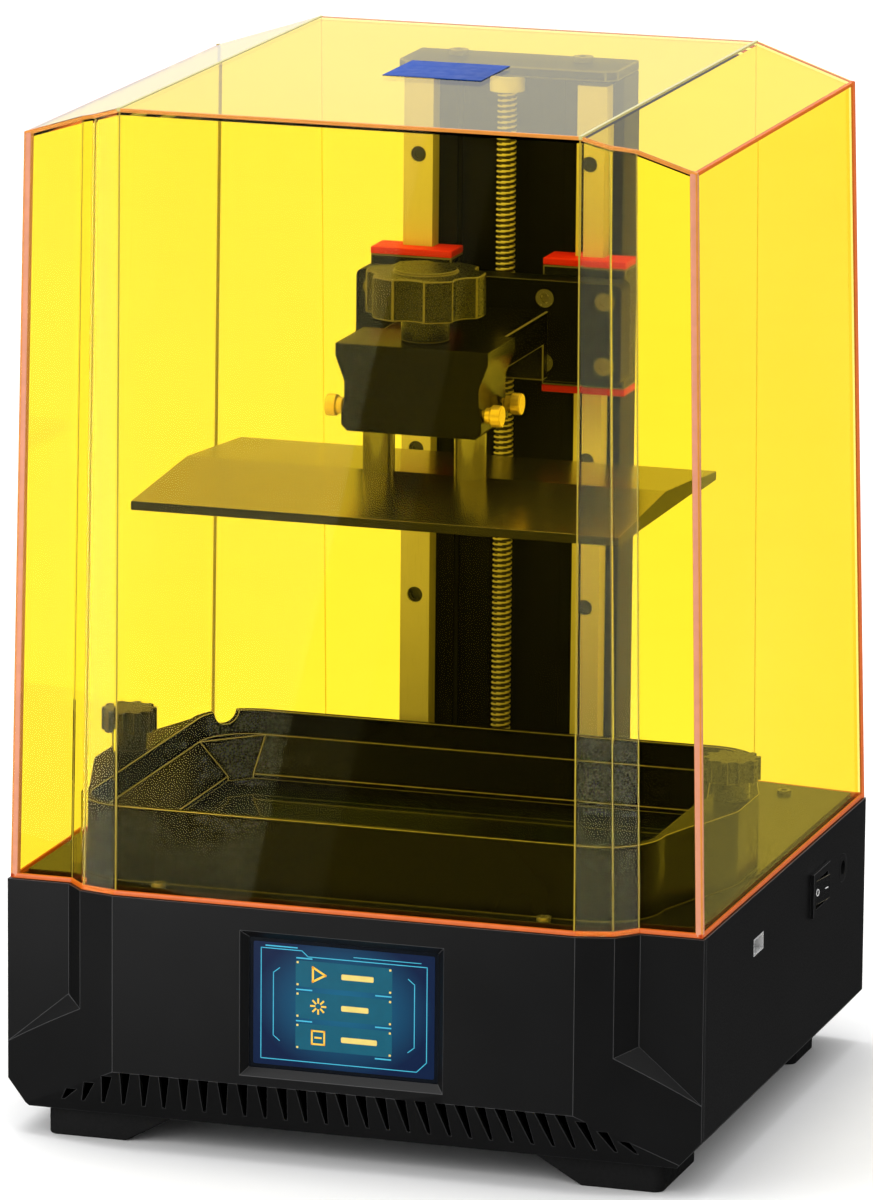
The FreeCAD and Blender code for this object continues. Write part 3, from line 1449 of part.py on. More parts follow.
def make_main_board():
    """The control board on standoffs behind the lamp."""
    middle_y = REAR - size.board_setback
    half_x, half_y = size.board_width / 2, size.board_depth / 2
    middle_x = HALF_WIDTH - size.board_side_gap
    wide = (middle_x - half_x, middle_x + half_x)
    deep = (middle_y - half_y, middle_y + half_y)
    bottom = FLOOR_TOP + size.board_lift
    top = bottom + size.board_sheet
    sheet_block = block("board_blank", wide, deep, (bottom, top))
    chip = size.board_depth / 5
    chips = [block("board_chip", span(middle_x, chip), span(middle_y, chip),
                   (top, top + size.board_sheet))]
    inset = size.standoff_inset
    posts = []
    for across in (wide[0] + inset, wide[1] - inset):
        for along in (deep[0] + inset, deep[1] - inset):
            posts.append(rod(f"standoff_{len(posts)}", size.standoff_radius, (across, along, FLOOR_TOP),
                             size.board_lift))
    keep(join("main_board", sheet_block, *chips))
    keep(group("board_standoffs", posts))


make_housing()
make_floor()
make_feet()
make_touchscreen()
make_side_ports()
make_deck()
make_lamp()
make_vat()
make_vat_knob("vat_knob_left", -1.0)
make_vat_knob("vat_knob_right", 1.0)
make_column()
make_drive()
make_carriage()
make_clamp()
make_cover()
make_fan()
make_main_board()

doc.recompute()
for thing in doc.Objects:
    if {"Invalid", "Error"} & set(thing.State):
        raise RuntimeError(f"{thing.Label} failed: {thing.State}")
for piece in nodes:
    if piece.Shape.isNull() or not piece.Shape.isValid():
        raise RuntimeError(f"{piece.Label} has no valid shape")
os.makedirs("parts", exist_ok=True)
for piece in nodes:
    piece.Shape.exportStep(f"parts/{piece.Label}.step")
    print(piece.Label, len(piece.Shape.Solids), round(piece.Shape.Volume), piece.Shape.BoundBox)
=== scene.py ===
import bpy
import json
import math
from mathutils import Matrix, Vector

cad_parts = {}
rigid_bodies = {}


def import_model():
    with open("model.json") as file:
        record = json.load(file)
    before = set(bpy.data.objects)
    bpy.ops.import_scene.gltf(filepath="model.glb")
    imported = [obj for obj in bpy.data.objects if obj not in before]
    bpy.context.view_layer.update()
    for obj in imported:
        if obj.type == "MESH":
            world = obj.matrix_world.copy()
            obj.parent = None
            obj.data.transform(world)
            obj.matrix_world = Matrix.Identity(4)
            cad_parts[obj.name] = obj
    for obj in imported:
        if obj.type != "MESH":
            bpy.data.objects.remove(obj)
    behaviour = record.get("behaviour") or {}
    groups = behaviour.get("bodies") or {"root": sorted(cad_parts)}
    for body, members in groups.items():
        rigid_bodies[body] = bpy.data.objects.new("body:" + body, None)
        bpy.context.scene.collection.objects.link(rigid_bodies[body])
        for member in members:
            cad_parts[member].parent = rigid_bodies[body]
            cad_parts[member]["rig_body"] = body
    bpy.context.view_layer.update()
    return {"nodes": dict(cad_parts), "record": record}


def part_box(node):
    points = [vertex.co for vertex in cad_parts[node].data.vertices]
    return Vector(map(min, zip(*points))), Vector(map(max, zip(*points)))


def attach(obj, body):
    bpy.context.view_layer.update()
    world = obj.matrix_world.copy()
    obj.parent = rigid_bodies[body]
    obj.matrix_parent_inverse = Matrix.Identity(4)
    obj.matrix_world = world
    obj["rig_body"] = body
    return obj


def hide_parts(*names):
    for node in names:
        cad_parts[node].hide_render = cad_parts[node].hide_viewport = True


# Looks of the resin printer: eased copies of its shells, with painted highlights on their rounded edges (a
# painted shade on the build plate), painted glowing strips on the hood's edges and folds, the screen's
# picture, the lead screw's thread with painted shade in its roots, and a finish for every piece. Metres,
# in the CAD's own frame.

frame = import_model()
cad_nodes = frame["nodes"]
slot_of = {entry["node"]: entry["material_slot"] for entry in frame["record"]["subparts"]}
MM = 0.001

# Camera, fitted to the photograph
CAMERA_PLACE = Vector((0.99947, -3.17306, 0.94681))
CAMERA_AIM = Vector((-0.004602, 0.00285, 0.19794))
CAMERA_ROLL = math.radians(0.495)
CAMERA_LENS = 259.7
CAMERA_SENSOR = 36.0
CAMERA_REACH = 100.0

# Which edges are rounded
SHARP_ANGLE = math.radians(35)
FOLD_ANGLE = math.radians(8)
WIDE_FACE = 300 * MM * MM
FLAT_ANGLE = math.radians(0.5)
MERGE_GAP = 0.002 * MM


# Mesh helpers

def clear_selection():
    if bpy.context.mode != "OBJECT":
        bpy.ops.object.mode_set(mode="OBJECT")
    bpy.ops.object.select_all(action="DESELECT")


def choose(piece):
    """Makes one object the only one selected."""
    clear_selection()
    piece.select_set(True)
    bpy.context.view_layer.objects.active = piece


def name_piece(name):
    """Names the object that was just added, and its data."""
    piece = bpy.context.object
    piece.name = name
    piece.data.name = name
    return piece


def settle(piece):
    """Puts an object's place, turn and scale into its mesh."""
    choose(piece)
    bpy.ops.object.transform_apply(location=True, rotation=True, scale=True)
    return piece


def apply_modifier(piece, kind, **settings):
    choose(piece)
    modifier = piece.modifiers.new(kind.title(), kind)
    for setting, value in settings.items():
        setattr(modifier, setting, value)
    bpy.ops.object.modifier_apply(modifier=modifier.name)


def edge_weights(mesh):
    """Marks for rounding every sharp edge, and every shallow fold between two wide faces."""
    sides = {edge.index: [] for edge in mesh.edges}
    for face in mesh.polygons:
        for loop in face.loop_indices:
            sides[mesh.loops[loop].edge_index].append(face)
    weights = []
    for edge in mesh.edges:
        faces = sides[edge.index]
        turn = faces[0].normal.angle(faces[1].normal, 0.0) if len(faces) == 2 else 0.0
        wide = len(faces) == 2 and min(faces[0].area, faces[1].area) > WIDE_FACE
        weights.append(1.0 if turn > SHARP_ANGLE or (wide and turn > FOLD_ANGLE) else 0.0)
    return weights


def soften(piece, width, segments=2, painted_edge_slot=-1):
    """Rounds the marked edges; with a slot given, the rounded faces take its material, a painted
    highlight, and on the build plate a painted shade. Flat faces keep flat shading.
    """
    mesh = piece.data
    weights = edge_weights(mesh)
    mark = mesh.attributes.new("bevel_weight_edge", "FLOAT", "EDGE")
    mark.data.foreach_set("value", weights)
    apply_modifier(piece, "BEVEL", width=width, segments=segments, limit_method="WEIGHT",
                   use_clamp_overlap=True, material=painted_edge_slot)
    choose(piece)
    bpy.ops.object.shade_smooth_by_angle(angle=SHARP_ANGLE)
    apply_modifier(piece, "WEIGHTED_NORMAL", keep_sharp=True)
    return piece


def pick_edges(piece, wanted):
    """Opens edit mode with only the wanted edges selected."""
    choose(piece)
    bpy.ops.object.mode_set(mode="EDIT")
    bpy.ops.mesh.select_mode(type="EDGE")
    bpy.ops.mesh.select_all(action="DESELECT")
    bpy.ops.object.mode_set(mode="OBJECT")
    corners = piece.data.vertices
    for edge in piece.data.edges:
        edge.select = wanted(*(corners[corner].co for corner in edge.vertices))
    bpy.ops.object.mode_set(mode="EDIT")


def merge_pieces(name, pieces):
    """Joins separate meshes into one object."""
    clear_selection()
    for piece in pieces:
        piece.select_set(True)
    bpy.context.view_layer.objects.active = pieces[0]
    if len(pieces) > 1:
        bpy.ops.object.join()
    return name_piece(name)


def paint(piece, material):
    piece.data.materials.clear()
    piece.data.materials.append(material)


def dress(piece, material, body, slot, *replaced):
    """Gives a new piece its finish and its body, and hides the nodes it stands for. The slot argument is
    not used.
    """
    paint(piece, material)
    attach(piece, body)
    if replaced:
        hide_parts(*replaced)
    return piece


# Finishes. Noise scales are counts to the metre.

NOISE_LOW, NOISE_HIGH = 0.3, 0.7
CLOUDS = 18.0
GRAIN_DETAIL = 4.0
UNEVEN_GLOSS = 0.15
GRAIN_RELIEF = 0.5
GLOW_CLOUDS = 220.0
GLOW_DIP = 0.9
GLOW_ROUGHNESS = 0.25


def start_finish(name):
    material = bpy.data.materials.new(name)
    material.use_nodes = True
    tree = material.node_tree
    return material, tree, tree.nodes["Principled BSDF"]


def add_node(tree, kind, **values):
    """A shader node with its sockets set by name."""
    node = tree.nodes.new(kind)
    for socket, value in values.items():
        node.inputs[socket.replace("_", " ")].default_value = value
    return node


def set_shader(shader, **values):
    """Sets constants straight on the shader's own sockets."""
    for socket, value in values.items():
        shader.inputs[socket.replace("_", " ")].default_value = value


def object_places(tree, stretch=(1, 1, 1)):
    places = tree.nodes.new("ShaderNodeTexCoord")
    mapping = add_node(tree, "ShaderNodeMapping", Scale=stretch)
    tree.links.new(places.outputs["Object"], mapping.inputs["Vector"])
    return mapping.outputs["Vector"]


def noise(tree, places, scale, detail=3.0):
    texture = add_node(tree, "ShaderNodeTexNoise", Scale=scale, Detail=detail)
    tree.links.new(places, texture.inputs["Vector"])
    return texture.outputs["Fac"]


def spread(tree, source, low, high):
    """Maps a noise around its middle to a range."""
    ranged = add_node(tree, "ShaderNodeMapRange", From_Min=NOISE_LOW, From_Max=NOISE_HIGH,
                      To_Min=low, To_Max=high)
    tree.links.new(source, ranged.inputs["Value"])
    return ranged.outputs["Result"]


def tint(tree, source, dark, light, low=NOISE_LOW, high=NOISE_HIGH):
    """Maps a value between low and high to a run of colours."""
    ramp = tree.nodes.new("ShaderNodeValToRGB")
    for stop, position, colour in zip(ramp.color_ramp.elements, (low, high), (dark, light)):
        stop.position = position
        stop.color = (*colour, 1)
    tree.links.new(source, ramp.inputs["Fac"])
    return ramp.outputs["Color"]


def shade(colour, share):
    return tuple(min(1.0, part * share) for part in colour)


def grey(level):
    return (level, level, level)


def add_relief(tree, shader, height, strength, depth):
    bump = add_node(tree, "ShaderNodeBump", Strength=strength, Distance=depth)
    tree.links.new(height, bump.inputs["Height"])
    tree.links.new(bump.outputs["Normal"], shader.inputs["Normal"])


def grained(name, colour, rough, grain, depth, metal=0.0, specular=0.5, stretch=(1, 1, 1), mottle=0.18):
    """A solid finish with cloudy colour, uneven gloss and a fine raised grain."""
    material, tree, shader = start_finish(name)
    cloud = noise(tree, object_places(tree), CLOUDS)
    grain_noise = noise(tree, object_places(tree, stretch), grain, GRAIN_DETAIL)
    clouded = tint(tree, cloud, shade(colour, 1 - mottle), shade(colour, 1 + mottle))
    uneven = spread(tree, grain_noise, rough * (1 - UNEVEN_GLOSS), rough * (1 + UNEVEN_GLOSS))
    tree.links.new(clouded, shader.inputs["Base Color"])
    tree.links.new(uneven, shader.inputs["Roughness"])
    add_relief(tree, shader, grain_noise, GRAIN_RELIEF, depth)
    set_shader(shader, Metallic=metal, Specular_IOR_Level=specular)
    return material


def glowing(name, colour, strength, centre=None, reach=None, rim=None):
    """A lit patch: the screen's picture, and the painted glows on the hood's edges and folds. With a
    centre, it fades to the rim's colour over its reach.
    """
    material, tree, shader = start_finish(name)
    if centre is None:
        lit = tint(tree, noise(tree, object_places(tree), GLOW_CLOUDS), shade(colour, GLOW_DIP), colour)
    else:
        stretch = (1 / reach[0], 1, 1 / reach[1])
        places = object_places(tree, stretch)
        shift = tuple(-middle * share for middle, share in zip(centre, stretch))
        places.node.inputs["Location"].default_value = shift
        ball = tree.nodes.new("ShaderNodeTexGradient")
        ball.gradient_type = "SPHERICAL"
        tree.links.new(places, ball.inputs["Vector"])
        lit = tint(tree, ball.outputs["Fac"], rim, colour, 0.0, 1.0)
    tree.links.new(lit, shader.inputs["Base Color"])
    tree.links.new(lit, shader.inputs["Emission Color"])
    set_shader(shader, Roughness=GLOW_ROUGHNESS, Emission_Strength=strength)
    return material


def clear_sheet(name, dark, light, waves, detail, **values):
    """A clear sheet whose tint drifts a little between two colours."""
    material, tree, shader = start_finish(name)
    drift = tint(tree, noise(tree, object_places(tree), waves, detail), dark, light)
    tree.links.new(drift, shader.inputs["Base Color"])
    set_shader(shader, Transmission_Weight=1.0, **values)
    return material


def ribbed_column(name):
    """Black anodised extrusion with fine draw lines along its height."""
    material, tree, shader = start_finish(name)
    lines = add_node(tree, "ShaderNodeTexWave", Scale=70.0, Distortion=0.0)
    lines.bands_direction = "X"
    tree.links.new(object_places(tree), lines.inputs["Vector"])
    streaks = noise(tree, object_places(tree, stretch=(1, 1, 0.01)), 420.0)
    tree.links.new(tint(tree, streaks, grey(0.0008), grey(0.0018)), shader.inputs["Base Color"])
    tree.links.new(spread(tree, streaks, 0.30, 0.44), shader.inputs["Roughness"])
    add_relief(tree, shader, lines.outputs["Fac"], strength=0.4, depth=0.08 * MM)
    set_shader(shader, Specular_IOR_Level=0.05)
    return material


# Solid finishes: name, colour, roughness, grain, grain depth
GRAIN = 1400.0
black_shell = grained("black_shell", (0.006, 0.006, 0.0062), 0.38, GRAIN, 0.02 * MM, specular=0.45)
# A painted highlight for the rounded edges of the black shells.
shell_painted_highlight = grained("shell_painted_highlight", (0.055, 0.055, 0.056), 0.36, GRAIN, 0.01 * MM)
black_deck = grained("black_deck", grey(0.006), 0.20, GRAIN, 0.004 * MM, specular=0.8)
black_grip = grained("black_grip", grey(0.006), 0.28, GRAIN, 0.003 * MM, specular=0.42)
black_alloy = grained("black_alloy", grey(0.0015), 0.30, GRAIN, 0.004 * MM, specular=0.04)
satin_alloy = grained("satin_alloy", grey(0.0015), 0.20, GRAIN, 0.002 * MM, specular=0.12)
block_steel = grained("block_steel", grey(0.006), 0.26, 700.0, 0.003 * MM, specular=0.10)
# A painted highlight for the rounded edges of the black alloy, grip and bearing-block parts.
painted_edge_highlight = grained("painted_edge_highlight", (0.17, 0.15, 0.10), 0.30, GRAIN, 0.002 * MM, specular=0.3)
vat_alloy = grained("vat_alloy", grey(0.0018), 0.22, 800.0, 0.0012 * MM, specular=0.07)
# A painted highlight for the vat's rounded rim and edges.
vat_painted_highlight = grained("vat_painted_highlight", (0.42, 0.35, 0.17), 0.28, GRAIN, 0.002 * MM)
polished_plate = grained("polished_plate", (0.66, 0.60, 0.48), 0.20, 900.0, 0.0, metal=1.0, mottle=0.04)
# A painted shade for the build plate's sides, underside and rounded edges.
plate_painted_shade = grained("plate_painted_shade", (0.012, 0.010, 0.007), 0.35, 900.0, 0.001 * MM, specular=0.2)
foot_rubber = grained("foot_rubber", grey(0.008), 0.75, 700.0, 0.10 * MM, specular=0.3)
# Steel painted a light yellow-gold, a painted cast of the light through the yellow hood, for the rails and
# the lead screw's parts.
steel_painted_hood_light = grained("steel_painted_hood_light", (0.76, 0.68, 0.36), 0.30, 300.0, 0.008 * MM,
                       stretch=(6, 6, 0.2), mottle=0.06)
# A painted shade for the lead screw's thread roots.
thread_painted_shade = grained("thread_painted_shade", (0.030, 0.024, 0.012), 0.5, 400.0, 0.01 * MM)
bright_steel = grained("bright_steel", (0.24, 0.23, 0.21), 0.14, 500.0, 0.001 * MM, metal=1.0, mottle=0.05)
dark_screw = grained("dark_screw", grey(0.03), 0.32, 600.0, 0.004 * MM, metal=0.6)
pale_screw = grained("pale_screw", (0.30, 0.28, 0.24), 0.25, 600.0, 0.002 * MM, metal=0.6)
turned_brass = grained("turned_brass", (0.95, 0.64, 0.17), 0.22, 800.0, 0.006 * MM, metal=0.65,
                       stretch=(4, 1, 1))
red_seal = grained("red_seal", (0.80, 0.022, 0.010), 0.40, 500.0, 0.02 * MM, specular=0.15, mottle=0.05)
green_board = grained("green_board", (0.012, 0.12, 0.05), 0.5, 300.0, 0.05 * MM)
cast_alloy = grained("cast_alloy", (0.45, 0.45, 0.46), 0.45, 600.0, 0.05 * MM, metal=0.9)
socket_dark = grained("socket_dark", grey(0.006), 0.4, 500.0, 0.03 * MM)
# The USB socket's steel painted light and matt, a painted glint.
socket_painted_glint = grained("socket_painted_glint", grey(0.72), 0.3, 500.0, 0.004 * MM, metal=0.25, mottle=0.05)
white_mark = grained("white_mark", grey(0.80), 0.5, 400.0, 0.01 * MM)
blue_label = grained("blue_label", (0.004, 0.06, 0.36), 0.45, 200.0, 0.01 * MM, specular=0.1)
mask_glass = grained("mask_glass", (0.010, 0.030, 0.016), 0.14, 80.0, 0.0002 * MM, specular=0.3)
panel_glass = grained("panel_glass", (0.004, 0.006, 0.010), 0.12, 60.0, 0.0004 * MM)
column_finish = ribbed_column("column_finish")
# Clear finishes: name, both tints, waves, detail of the waves
yellow_acrylic = clear_sheet("yellow_acrylic", (0.965, 0.815, 0.15), (0.975, 0.835, 0.18), 6.0, 1.0,
                             Roughness=0.0, IOR=1.12, Specular_Tint=(1.0, 0.95, 0.55, 1))
LENS_TINT = (0.92, 0.95, 0.96)
lens_clear = clear_sheet("lens_clear", shade(LENS_TINT, 0.92), LENS_TINT, 9.0, 3.0,
                         Roughness=0.04, IOR=1.35)

# Lit finishes, for the screen's picture and for painted glows on the hood's edges and folds: name, colour,
# strength
# Painted glows standing in for the hood's bright edges and pale folds
painted_edge_glow = glowing("painted_edge_glow", (0.62, 0.13, 0.030), 0.30)
painted_edge_bright = glowing("painted_edge_bright", (0.60, 0.24, 0.14), 0.32)
painted_fold_pale = glowing("painted_fold_pale", (0.55, 0.50, 0.18), 0.15)
painted_fold_clear = glowing("painted_fold_clear", (0.90, 0.78, 0.20), 0.55)
painted_fold_grey = glowing("painted_fold_grey", (0.42, 0.34, 0.12), 0.10)
screen_navy = glowing("screen_navy", (0.002, 0.105, 0.20), 0.35, centre=(0.0, -0.125, 0.0655),
                      reach=(0.036, 0.028), rim=(0.001, 0.010, 0.045))
screen_teal = glowing("screen_teal", (0.003, 0.085, 0.135), 0.35)
screen_line = glowing("screen_line", (0.04, 0.36, 0.52), 0.45)
screen_gold = glowing("screen_gold", (0.66, 0.52, 0.14), 0.4)
screen_yellow = glowing("screen_yellow", (0.75, 0.46, 0.05), 0.45)

NODE_FINISHES = {
    black_shell: ("front_fascia", "casing", "switch_housing"),
    black_deck: ("top_deck",),
    satin_alloy: ("clamp_block", "platform_arm"),
    black_alloy: ("carriage_plate", "column_cap", "bottom_plate", "motor_bracket",
                  "lamp_heat_sink", "nut_bracket"),
    polished_plate: ("build_plate", "levelling_yoke"),
    black_grip: ("platform_knob", "vat_knob_left", "vat_knob_right", "power_rocker", "fan_frame",
                 "fan_rotor", "light_shroud"),
    foot_rubber: ("front_foot_left", "front_foot_right", "rear_foot_left", "rear_foot_right"),
    steel_painted_hood_light: ("rail_left", "rail_right", "lead_screw", "motor_shaft", "upper_bearing"),
    bright_steel: ("platform_posts", "shaft_coupling"),
    socket_painted_glint: ("usb_port",),
    dark_screw: ("rail_screws",),
    pale_screw: ("deck_screws", "cap_screws", "carriage_screws"),
    turned_brass: ("lead_nut", "level_screw_front_left", "level_screw_front_right",
                   "level_screw_rear_left", "level_screw_rear_right"),
    red_seal: ("block_seals",),
    green_board: ("display_board", "main_board", "lamp_board"),
    cast_alloy: ("z_motor", "board_standoffs"),
    block_steel: ("bearing_block_left", "bearing_block_right"),
    vat_alloy: ("vat_body", "film_frame"),
    socket_dark: ("power_jack",),
    blue_label: ("cover_sticker",),
    mask_glass: ("exposure_screen",),
    panel_glass: ("touchscreen",),
    column_finish: ("z_column",),
    yellow_acrylic: ("cover",),
    lens_clear: ("lens_plate", "release_film"),
}
# Materials for the rounded edge faces: painted highlights, and a painted shade on the build plate
PAINTED_EDGE_LIGHT_AND_SHADE = {
    black_shell: shell_painted_highlight, vat_alloy: vat_painted_highlight, black_alloy: painted_edge_highlight, satin_alloy: painted_edge_highlight,
    black_grip: painted_edge_highlight, block_steel: painted_edge_highlight, polished_plate: plate_painted_shade,
}
node_finish = {}
for finish, names in NODE_FINISHES.items():
    for node_name in names:
        node_finish[node_name] = finish
        paint(cad_nodes[node_name], finish)


# Eased shells, with each node's edge width in millimetres

EASED_EDGES = {
    "front_fascia": 0.6, "casing": 0.5, "top_deck": 0.5, "vat_body": 0.5, "platform_arm": 0.5,
    "clamp_block": 0.5, "carriage_plate": 0.4, "build_plate": 0.4, "column_cap": 0.6, "z_column": 0.5,
    "rail_left": 0.5, "rail_right": 0.5, "bearing_block_left": 0.7, "bearing_block_right": 0.7,
    "block_seals": 0.4, "switch_housing": 0.4, "power_rocker": 0.4, "level_screw_front_left": 0.5,
    "level_screw_front_right": 0.5, "level_screw_rear_left": 0.5, "level_screw_rear_right": 0.5,
    "vat_knob_left": 0.6, "vat_knob_right": 0.6, "platform_knob": 0.9, "front_foot_left": 0.8,
    "front_foot_right": 0.8, "rear_foot_left": 0.8, "rear_foot_right": 0.8,
}
EDGE_SEGMENTS = 3
FACING_UP = 0.7


def eased_copy(node_name, width):
    """A copy of a CAD shell with its sharp edges rounded, standing for the node. Where one is listed, its
    rounded faces take a painted highlight, and on the build plate a painted shade.
    """
    piece = bpy.data.objects.new(f"eased_{node_name}", cad_nodes[node_name].data.copy())
    bpy.context.scene.collection.objects.link(piece)
    choose(piece)
    bpy.ops.object.mode_set(mode="EDIT")
    bpy.ops.mesh.select_all(action="SELECT")
    bpy.ops.mesh.remove_doubles(threshold=MERGE_GAP)
    bpy.ops.mesh.dissolve_limited(angle_limit=FLAT_ANGLE)
    bpy.ops.object.mode_set(mode="OBJECT")
    finish = node_finish[node_name]
    dress(piece, finish, cad_nodes[node_name]["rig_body"], slot_of[node_name], node_name)
    # The rounded faces take the listed painted highlight (the build plate's is a painted shade)
    if finish in PAINTED_EDGE_LIGHT_AND_SHADE:
        piece.data.materials.append(PAINTED_EDGE_LIGHT_AND_SHADE[finish])
    return soften(piece, width, EDGE_SEGMENTS, len(piece.data.materials) - 1)


eased = {node_name: eased_copy(node_name, width * MM) for node_name, width in EASED_EDGES.items()}
# Only the build plate's faces that face up keep the polished metal; its sides, underside and steep rounded
# edges are painted dark, a painted shade
for face in eased["build_plate"].data.polygons:
    face.material_index = int(face.normal.z < FACING_UP)


# Lead screw

THREAD_PITCH = 2.2 * MM
THREAD_GROOVE = 1.0 * MM
THREAD_SIDES = 24
THREAD_CUTS = 5
THREAD_SMOOTH = math.radians(60)
PAINTED_SHADE_DEPTH = 0.45 * THREAD_GROOVE


def lead_thread():
    """The whole lead screw as a threaded rod, one grooved turn repeated, with painted shade in its roots.
    """
    low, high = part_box("lead_screw")
    axis = (low + high) / 2
    crest = (high.x - low.x) / 2
    turns = round((high.z - low.z) / THREAD_PITCH)
    pitch = (high.z - low.z) / turns
    clear_selection()
    bpy.ops.mesh.primitive_cylinder_add(vertices=THREAD_SIDES, radius=crest, depth=pitch,
                                        end_fill_type="NOTHING",
                                        location=(axis.x, axis.y, low.z + pitch / 2))
    piece = settle(name_piece("lead_thread"))
    pick_edges(piece, lambda start, end: abs(start.z - end.z) > pitch / 2)
    bpy.ops.mesh.subdivide(number_cuts=THREAD_CUTS)
    bpy.ops.object.mode_set(mode="OBJECT")
    for corner in piece.data.vertices:
        around = math.atan2(corner.co.y - axis.y, corner.co.x - axis.x)
        rise = (corner.co.z - low.z) / pitch - around / (2 * math.pi)
        reach = crest - THREAD_GROOVE * (0.5 - 0.5 * math.cos(2 * math.pi * rise))
        corner.co.x = axis.x + reach * math.cos(around)
        corner.co.y = axis.y + reach * math.sin(around)
    apply_modifier(piece, "ARRAY", count=turns, use_relative_offset=False, use_constant_offset=True,
                   constant_offset_displace=(0, 0, pitch), use_merge_vertices=True,
                   merge_threshold=MERGE_GAP)
    choose(piece)
    bpy.ops.object.mode_set(mode="EDIT")
    bpy.ops.mesh.select_all(action="SELECT")
    bpy.ops.mesh.region_to_loop()
    bpy.ops.mesh.fill_holes(sides=0)
    bpy.ops.object.mode_set(mode="OBJECT")
    bpy.ops.object.shade_smooth_by_angle(angle=THREAD_SMOOTH)
    dress(piece, steel_painted_hood_light, "drive_line", slot_of["lead_screw"], "lead_screw")
    piece.data.materials.append(thread_painted_shade)
    # Faces deep in the thread take the painted shade
    for face in piece.data.polygons:
        reach = math.hypot(face.center.x - axis.x, face.center.y - axis.y)
        face.material_index = int(reach < crest - PAINTED_SHADE_DEPTH)
    return piece


# Hood edges, drawn as painted glowing strips. The places, in millimetres on the right half, only say which
# corner of the hood is meant:
# hood_spot reads the corner itself from the CAD.

FOOT_Z, SHOULDER_Z, ROOF_Z = 102.3, 396.3, 409.4
HOOD_FOOT = [(93.2, -127.65, FOOT_Z), (107.4, -123.9, FOOT_Z), (115.1, -115.35, FOOT_Z),
             (139.8, -115.35, FOOT_Z), (139.8, 121.05, FOOT_Z), (91.7, 127.65, FOOT_Z)]
HOOD_CROWN = [(91.7, -127.65, ROOF_Z), (102.5, -124.8, 406.0), (110.2, -116.3, 403.6),
              (133.3, -116.2, SHOULDER_Z)]
REAR_SHOULDER = (133.3, 109.5, SHOULDER_Z)
REAR_ROOF = (91.7, 115.7, ROOF_Z)
EDGE_INSET, CORNER_INSET, ROOF_INSET = 0.8, 1.5, 0.5
FOOT_LINE, CROWN_LINE, CORNER_LINE, REAR_CORNER_LINE = 1.9, 1.4, 3.2, 2.4
ROOF_LINE, FOLD_LINE, THIN_LINE = 1.5, 0.6, 0.5
LINE_ROUNDING = 0.25


def edge_bar(start, end, width):
    """A slim square bar between two points."""
    run = end - start
    clear_selection()
    bpy.ops.mesh.primitive_cube_add(size=1, location=(start + end) / 2,
                                    rotation=run.to_track_quat("Z", "Y").to_euler())
    bar = bpy.context.object
    bar.scale = (width, width, run.length + width)
    return settle(bar)


def hood_spot(side, place, inset=EDGE_INSET):
    """The hood's own corner nearest to a place, drawn in a little from its faces."""
    x, y, z = place
    near = Vector((side * x, y, z)) * MM
    corners = (vertex.co for vertex in cad_nodes["cover"].data.vertices)
    corner = min(corners, key=lambda spot: (spot - near).length)
    low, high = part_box("cover")
    upward = 1 if near.z < (low.z + high.z) / 2 else -1
    return corner + Vector((-side, -math.copysign(1, y), upward)) * inset * MM


def edge_line(name, spots, width, finish):
    """A chain of slim bars along the hood's cut edge."""
    bars = [edge_bar(start, end, width * MM) for start, end in zip(spots, spots[1:])]
    piece = merge_pieces(name, bars)
    soften(piece, LINE_ROUNDING * width * MM)
    return dress(piece, finish, "hood", slot_of["cover"])


def hood_edges():
    """Painted glowing strips along the cut edges and folds of the hood's sheets."""
    fronts, rears = [], []
    for side, label in ((-1, "left"), (1, "right")):
        foot = [hood_spot(side, place) for place in HOOD_FOOT]
        crown = [hood_spot(side, place) for place in HOOD_CROWN]
        shoulder = hood_spot(side, REAR_SHOULDER)
        roof = hood_spot(side, REAR_ROOF)
        corner = [hood_spot(side, place, CORNER_INSET) for place in (HOOD_FOOT[3], HOOD_CROWN[3])]
        roof_fold = [hood_spot(side, place, ROOF_INSET) for place in (HOOD_CROWN[0], REAR_ROOF)]
        lines = {
            f"foot_{label}": (foot, FOOT_LINE, painted_edge_glow),
            f"corner_{label}": (corner, CORNER_LINE, painted_edge_bright),
            f"crown_{label}": (crown, CROWN_LINE, painted_edge_bright),
            f"shoulder_{label}": ([crown[3], shoulder, roof], CROWN_LINE, painted_edge_glow),
            f"rear_corner_{label}": ([foot[4], shoulder], REAR_CORNER_LINE,
                                     painted_edge_glow if label == "right" else painted_fold_grey),
            f"roof_fold_{label}": (roof_fold, ROOF_LINE, painted_fold_pale),
            f"fold_{label}": ([foot[0], crown[0]], FOLD_LINE, painted_fold_grey),
            f"rear_fold_{label}": ([foot[5], roof], THIN_LINE, painted_fold_clear),
            f"step_{label}_1": ([foot[1], crown[1]], THIN_LINE, painted_fold_grey),
            f"step_{label}_2": ([foot[2], crown[2]], THIN_LINE, painted_fold_grey),
        }
        for line, (spots, width, finish) in lines.items():
            edge_line(f"hood_{line}", spots, width, finish)
        fronts.append((foot[0], crown[0]))
        rears.append((foot[5], roof))
    front_feet, front_crowns = zip(*fronts)
    rear_feet, rear_crowns = zip(*rears)
    edge_line("hood_front_foot", front_feet, FOOT_LINE, painted_edge_glow)
    edge_line("hood_rear_foot", rear_feet, FOOT_LINE, painted_edge_glow)
    edge_line("hood_front_crown", front_crowns, CROWN_LINE, painted_edge_bright)
    edge_line("hood_rear_crown", rear_crowns, CROWN_LINE, painted_edge_glow)


# Touchscreen picture: places across and up, in millimetres from the picture's middle

